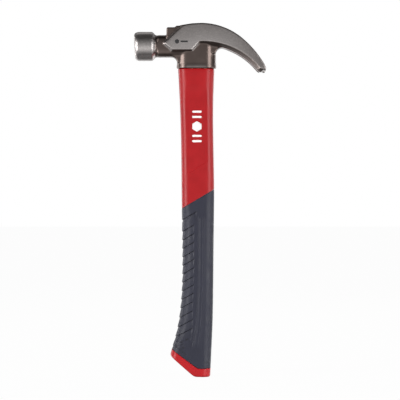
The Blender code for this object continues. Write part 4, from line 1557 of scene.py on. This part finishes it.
PRINT_GRAIN = 2500.0
PRINT_SINK = 0.05
CHEEK_PRINT = 0.05
JACKET_PRINT = 0.04
CHEEK_HEXAGON = 2.3
CHEEK_BAR = (4.0, 9.6, 0.8)
JACKET_HEXAGON = (-2.9, 238.0, 5.0)
JACKET_BAR = (-6.4, 0.6, 1.0)
JACKET_BARS_Z = (252.0, 247.0, 229.0, 224.0)


def printed(points, surface, thickness):
    """Thin printed patch whose outline in X and Z is laid on the surface y = surface(x, z)."""
    bm = bmesh.new()
    face = bm.faces.new([bm.verts.new((x, 0, z)) for x, z in points])
    bmesh.ops.triangulate(bm, faces=[face])
    bmesh.ops.subdivide_edges(bm, edges=bm.edges, cuts=3, use_grid_fill=True)
    grown_part = bmesh.ops.extrude_face_region(bm, geom=list(bm.faces))
    front = {item for item in grown_part["geom"] if isinstance(item, bmesh.types.BMVert)}
    for vert in bm.verts:
        lift = thickness if vert in front else -PRINT_SINK
        vert.co.y = surface(vert.co.x, vert.co.z) - lift
    bmesh.ops.recalc_face_normals(bm, faces=bm.faces)
    return bm


def hexagon(x, z, radius):
    """Outline of a hexagon that stands on a corner."""
    return arc((x, z), radius, 30, 330, 5)


def rounded_bar(start, end, z, half):
    """Outline of a short level bar with round ends."""
    return arc((end, z), half, -90, 90, 8) + arc((start, z), half, 90, 270, 8)


def cheek_surface(x, z):
    """The cheek's near side, rounded as it is ground."""
    return dome_drop(x, z) - CHEEK_DEPTH


def joined(name, shapes):
    """One object from several separate shapes."""
    whole = bmesh.new()
    for shape in shapes:
        part = bpy.data.meshes.new("part")
        shape.to_mesh(part)
        shape.free()
        whole.from_mesh(part)
        bpy.data.meshes.remove(part)
    return new_object(name, whole)


class HAMMER_OT_marks(bpy.types.Operator):
    """Print plain marks: a hexagon and bars, dark on the cheek and pale on the jacket"""

    bl_idname = "hammer.marks"
    bl_label = "Marks"

    def execute(self, context):
        x, z = CHEEK.x - 3.8, CHEEK.z - 2.4
        start, end, half = CHEEK_BAR
        outlines = (hexagon(x, z, CHEEK_HEXAGON), rounded_bar(x + start, x + end, z, half))
        stamp = joined("cheek_mark", [printed(line, cheek_surface, CHEEK_PRINT) for line in outlines])
        dark = simple_material("Dark print", (0.012, 0.012, 0.013), 0.5, 0.0, PRINT_GRAIN)
        add_piece(stamp, [], dark)
        depth = context.scene.hammer_handle.panel_depth

        def panel(x, z):
            return depth - smooth_between(DEPTHS, z)[0]

        start, end, half = JACKET_BAR
        outlines = [hexagon(*JACKET_HEXAGON)]
        outlines += [rounded_bar(start, end, bar_z, half) for bar_z in JACKET_BARS_Z]
        mark = joined("jacket_mark", [printed(line, panel, JACKET_PRINT) for line in outlines])
        pale = simple_material("Pale print", (0.85, 0.84, 0.83), 0.45, 0.0, PRINT_GRAIN)
        add_piece(mark, [], pale)
        return {"FINISHED"}


# ---------------------------------------------------------------- the stage

CAMERA_PLANE = 0.009
SIDE_REACH = 1.7
SIDE_HEIGHT_Z = 0.3
SIDE_TALL = 1.6
# Softboxes: name, turn from the front, width in metres, and share of the full brightness
SIDE_LIGHTS = (
    ("softbox_left", -56.0, 0.9, 1.65), ("softbox_right", 45.0, 0.8, 1.15), ("rim_right", 92.0, 0.4, 0.25),
    ("softbox_back_left", -126.0, 0.45, 0.5), ("softbox_back_right", 142.0, 0.3, 0.35),
)
TOP_LIGHT_PLACE = (0.0, 1.1, 1.9)
TOP_LIGHT_SIZE = (1.6, 0.8)
TOP_LIGHT_WATTS = 2.6
SENSOR_WIDTH = 36.0
FLOOR_RADIUS = 12.0
FLOOR_GLOW = 0.97
# Brightness of the room by slope, from straight down (-1) to straight up (1)
ROOM_LEVELS = (
    (-1.0, 0.27), (-0.93, 0.11), (-0.86, 0.17), (-0.77, 0.31), (-0.66, 0.57), (-0.55, 0.8), (-0.43, 0.95),
    (-0.3, 1.0), (-0.08, 0.78), (0.1, 0.5), (0.3, 0.33), (0.5, 0.26), (0.75, 0.1), (0.9, 0.04), (1.0, 0.06),
)
ROOM_STRENGTH = 1.2


def area_light(name, place, aim, size, watts):
    data = bpy.data.lights.new(name, "AREA")
    data.shape = "RECTANGLE"
    data.size, data.size_y = size
    data.energy = watts
    light = bpy.data.objects.new(name, data)
    light.location = place
    light.rotation_euler = (Vector(aim) - Vector(place)).to_track_quat("-Z", "Y").to_euler()
    bpy.context.scene.collection.objects.link(light)


def studio_world():
    """White to the camera, and to everything else a room lit from a low band."""
    world = bpy.data.worlds.new("Studio")
    world.use_nodes = True
    tree = world.node_tree
    room = tree.nodes["Background"]
    coords = tree.nodes.new("ShaderNodeTexCoord")
    split = tree.nodes.new("ShaderNodeSeparateXYZ")
    ramp = tree.nodes.new("ShaderNodeValToRGB")
    rise = tree.nodes.new("ShaderNodeMapRange")
    rise.inputs["From Min"].default_value = -1.0
    elements = ramp.color_ramp.elements
    while len(elements) < len(ROOM_LEVELS):
        elements.new(0.5)
    for element, (slope, level) in zip(elements, ROOM_LEVELS):
        element.position = (slope + 1) / 2
        element.color = (level, level, level, 1.0)
    room.inputs["Strength"].default_value = ROOM_STRENGTH
    white = tree.nodes.new("ShaderNodeBackground")
    white.inputs["Color"].default_value = (1.0, 1.0, 1.0, 1.0)
    path = tree.nodes.new("ShaderNodeLightPath")
    blend = tree.nodes.new("ShaderNodeMixShader")
    tree.links.new(coords.outputs["Generated"], split.inputs[0])
    tree.links.new(split.outputs["Z"], rise.inputs["Value"])
    tree.links.new(rise.outputs["Result"], ramp.inputs["Fac"])
    tree.links.new(ramp.outputs["Color"], room.inputs["Color"])
    tree.links.new(path.outputs["Is Camera Ray"], blend.inputs[0])
    tree.links.new(room.outputs[0], blend.inputs[1])
    tree.links.new(white.outputs[0], blend.inputs[2])
    tree.links.new(blend.outputs[0], tree.nodes["World Output"].inputs["Surface"])
    bpy.context.scene.world = world


def floor_material():
    """Pale floor that keeps only a faint shadow when it is looked at."""
    material, tree, shader = new_material("Pale floor")
    shader.inputs["Base Color"].default_value = (0.9, 0.9, 0.9, 1.0)
    shader.inputs["Roughness"].default_value = 0.9
    shader.inputs["Specular IOR Level"].default_value = 0.0
    glow = tree.nodes.new("ShaderNodeEmission")
    glow.inputs["Color"].default_value = (1.0, 1.0, 1.0, 1.0)
    blend = tree.nodes.new("ShaderNodeMixShader")
    blend.inputs[0].default_value = FLOOR_GLOW
    tree.links.new(shader.outputs[0], blend.inputs[1])
    tree.links.new(glow.outputs[0], blend.inputs[2])
    tree.links.new(blend.outputs[0], tree.nodes["Material Output"].inputs["Surface"])
    return material


class HAMMER_OT_stage(bpy.types.Operator):
    """Set the floor, the lights and the camera"""

    bl_idname = "hammer.stage"
    bl_label = "Stage"

    def execute(self, context):
        settings = context.scene.hammer_stage
        bm = bmesh.new()
        bmesh.ops.create_circle(bm, cap_ends=True, segments=96, radius=FLOOR_RADIUS)
        floor = new_object("floor", bm, scale=1.0)
        floor.data.materials.append(floor_material())
        floor.visible_diffuse = False
        floor.visible_glossy = False
        aim = (0.0, 0.0, settings.view_height)
        for name, degrees, width, share in SIDE_LIGHTS:
            turn = math.radians(degrees)
            place = (SIDE_REACH * math.sin(turn), -SIDE_REACH * math.cos(turn), SIDE_HEIGHT_Z)
            area_light(name, place, aim, (width, SIDE_TALL), settings.softbox * share)
        area_light("top_light", TOP_LIGHT_PLACE, aim, TOP_LIGHT_SIZE, TOP_LIGHT_WATTS)
        studio_world()
        data = bpy.data.cameras.new("Camera")
        data.lens = settings.lens
        data.sensor_width = SENSOR_WIDTH
        camera = bpy.data.objects.new("Camera", data)
        distance = settings.frame_width * settings.lens / data.sensor_width
        camera.location = (0.0, -distance - CAMERA_PLANE, settings.view_height)
        camera.rotation_euler = (math.radians(90), 0, 0)
        context.scene.collection.objects.link(camera)
        context.scene.camera = camera
        context.scene.view_settings.view_transform = "Standard"
        return {"FINISHED"}


OPERATORS = (
    HAMMER_OT_head, HAMMER_OT_eye, HAMMER_OT_jacket, HAMMER_OT_grip, HAMMER_OT_cap, HAMMER_OT_marks,
    HAMMER_OT_stage,
)


class HAMMER_PT_panel(bpy.types.Panel):
    """Buttons that build the hammer's pieces"""

    bl_idname = "HAMMER_PT_panel"
    bl_label = "Claw Hammer"
    bl_space_type = "VIEW_3D"
    bl_region_type = "UI"
    bl_category = "Hammer"

    def draw(self, context):
        for operator in OPERATORS:
            self.layout.operator(operator.bl_idname)


CLASSES = (HammerHeadSettings, HammerHandleSettings, HammerStageSettings, *OPERATORS, HAMMER_PT_panel)


def register():
    for cls in CLASSES:
        bpy.utils.register_class(cls)
    bpy.types.Scene.hammer_head = PointerProperty(type=HammerHeadSettings)
    bpy.types.Scene.hammer_handle = PointerProperty(type=HammerHandleSettings)
    bpy.types.Scene.hammer_stage = PointerProperty(type=HammerStageSettings)


def unregister():
    del bpy.types.Scene.hammer_head
    del bpy.types.Scene.hammer_handle
    del bpy.types.Scene.hammer_stage
    for cls in reversed(CLASSES):
        bpy.utils.unregister_class(cls)


def main():
    register()
    bpy.ops.hammer.head()
    bpy.ops.hammer.eye()
    bpy.ops.hammer.jacket()
    bpy.ops.hammer.grip()
    bpy.ops.hammer.cap()
    bpy.ops.hammer.marks()
    bpy.ops.hammer.stage()


if __name__ == "__main__":
    main()
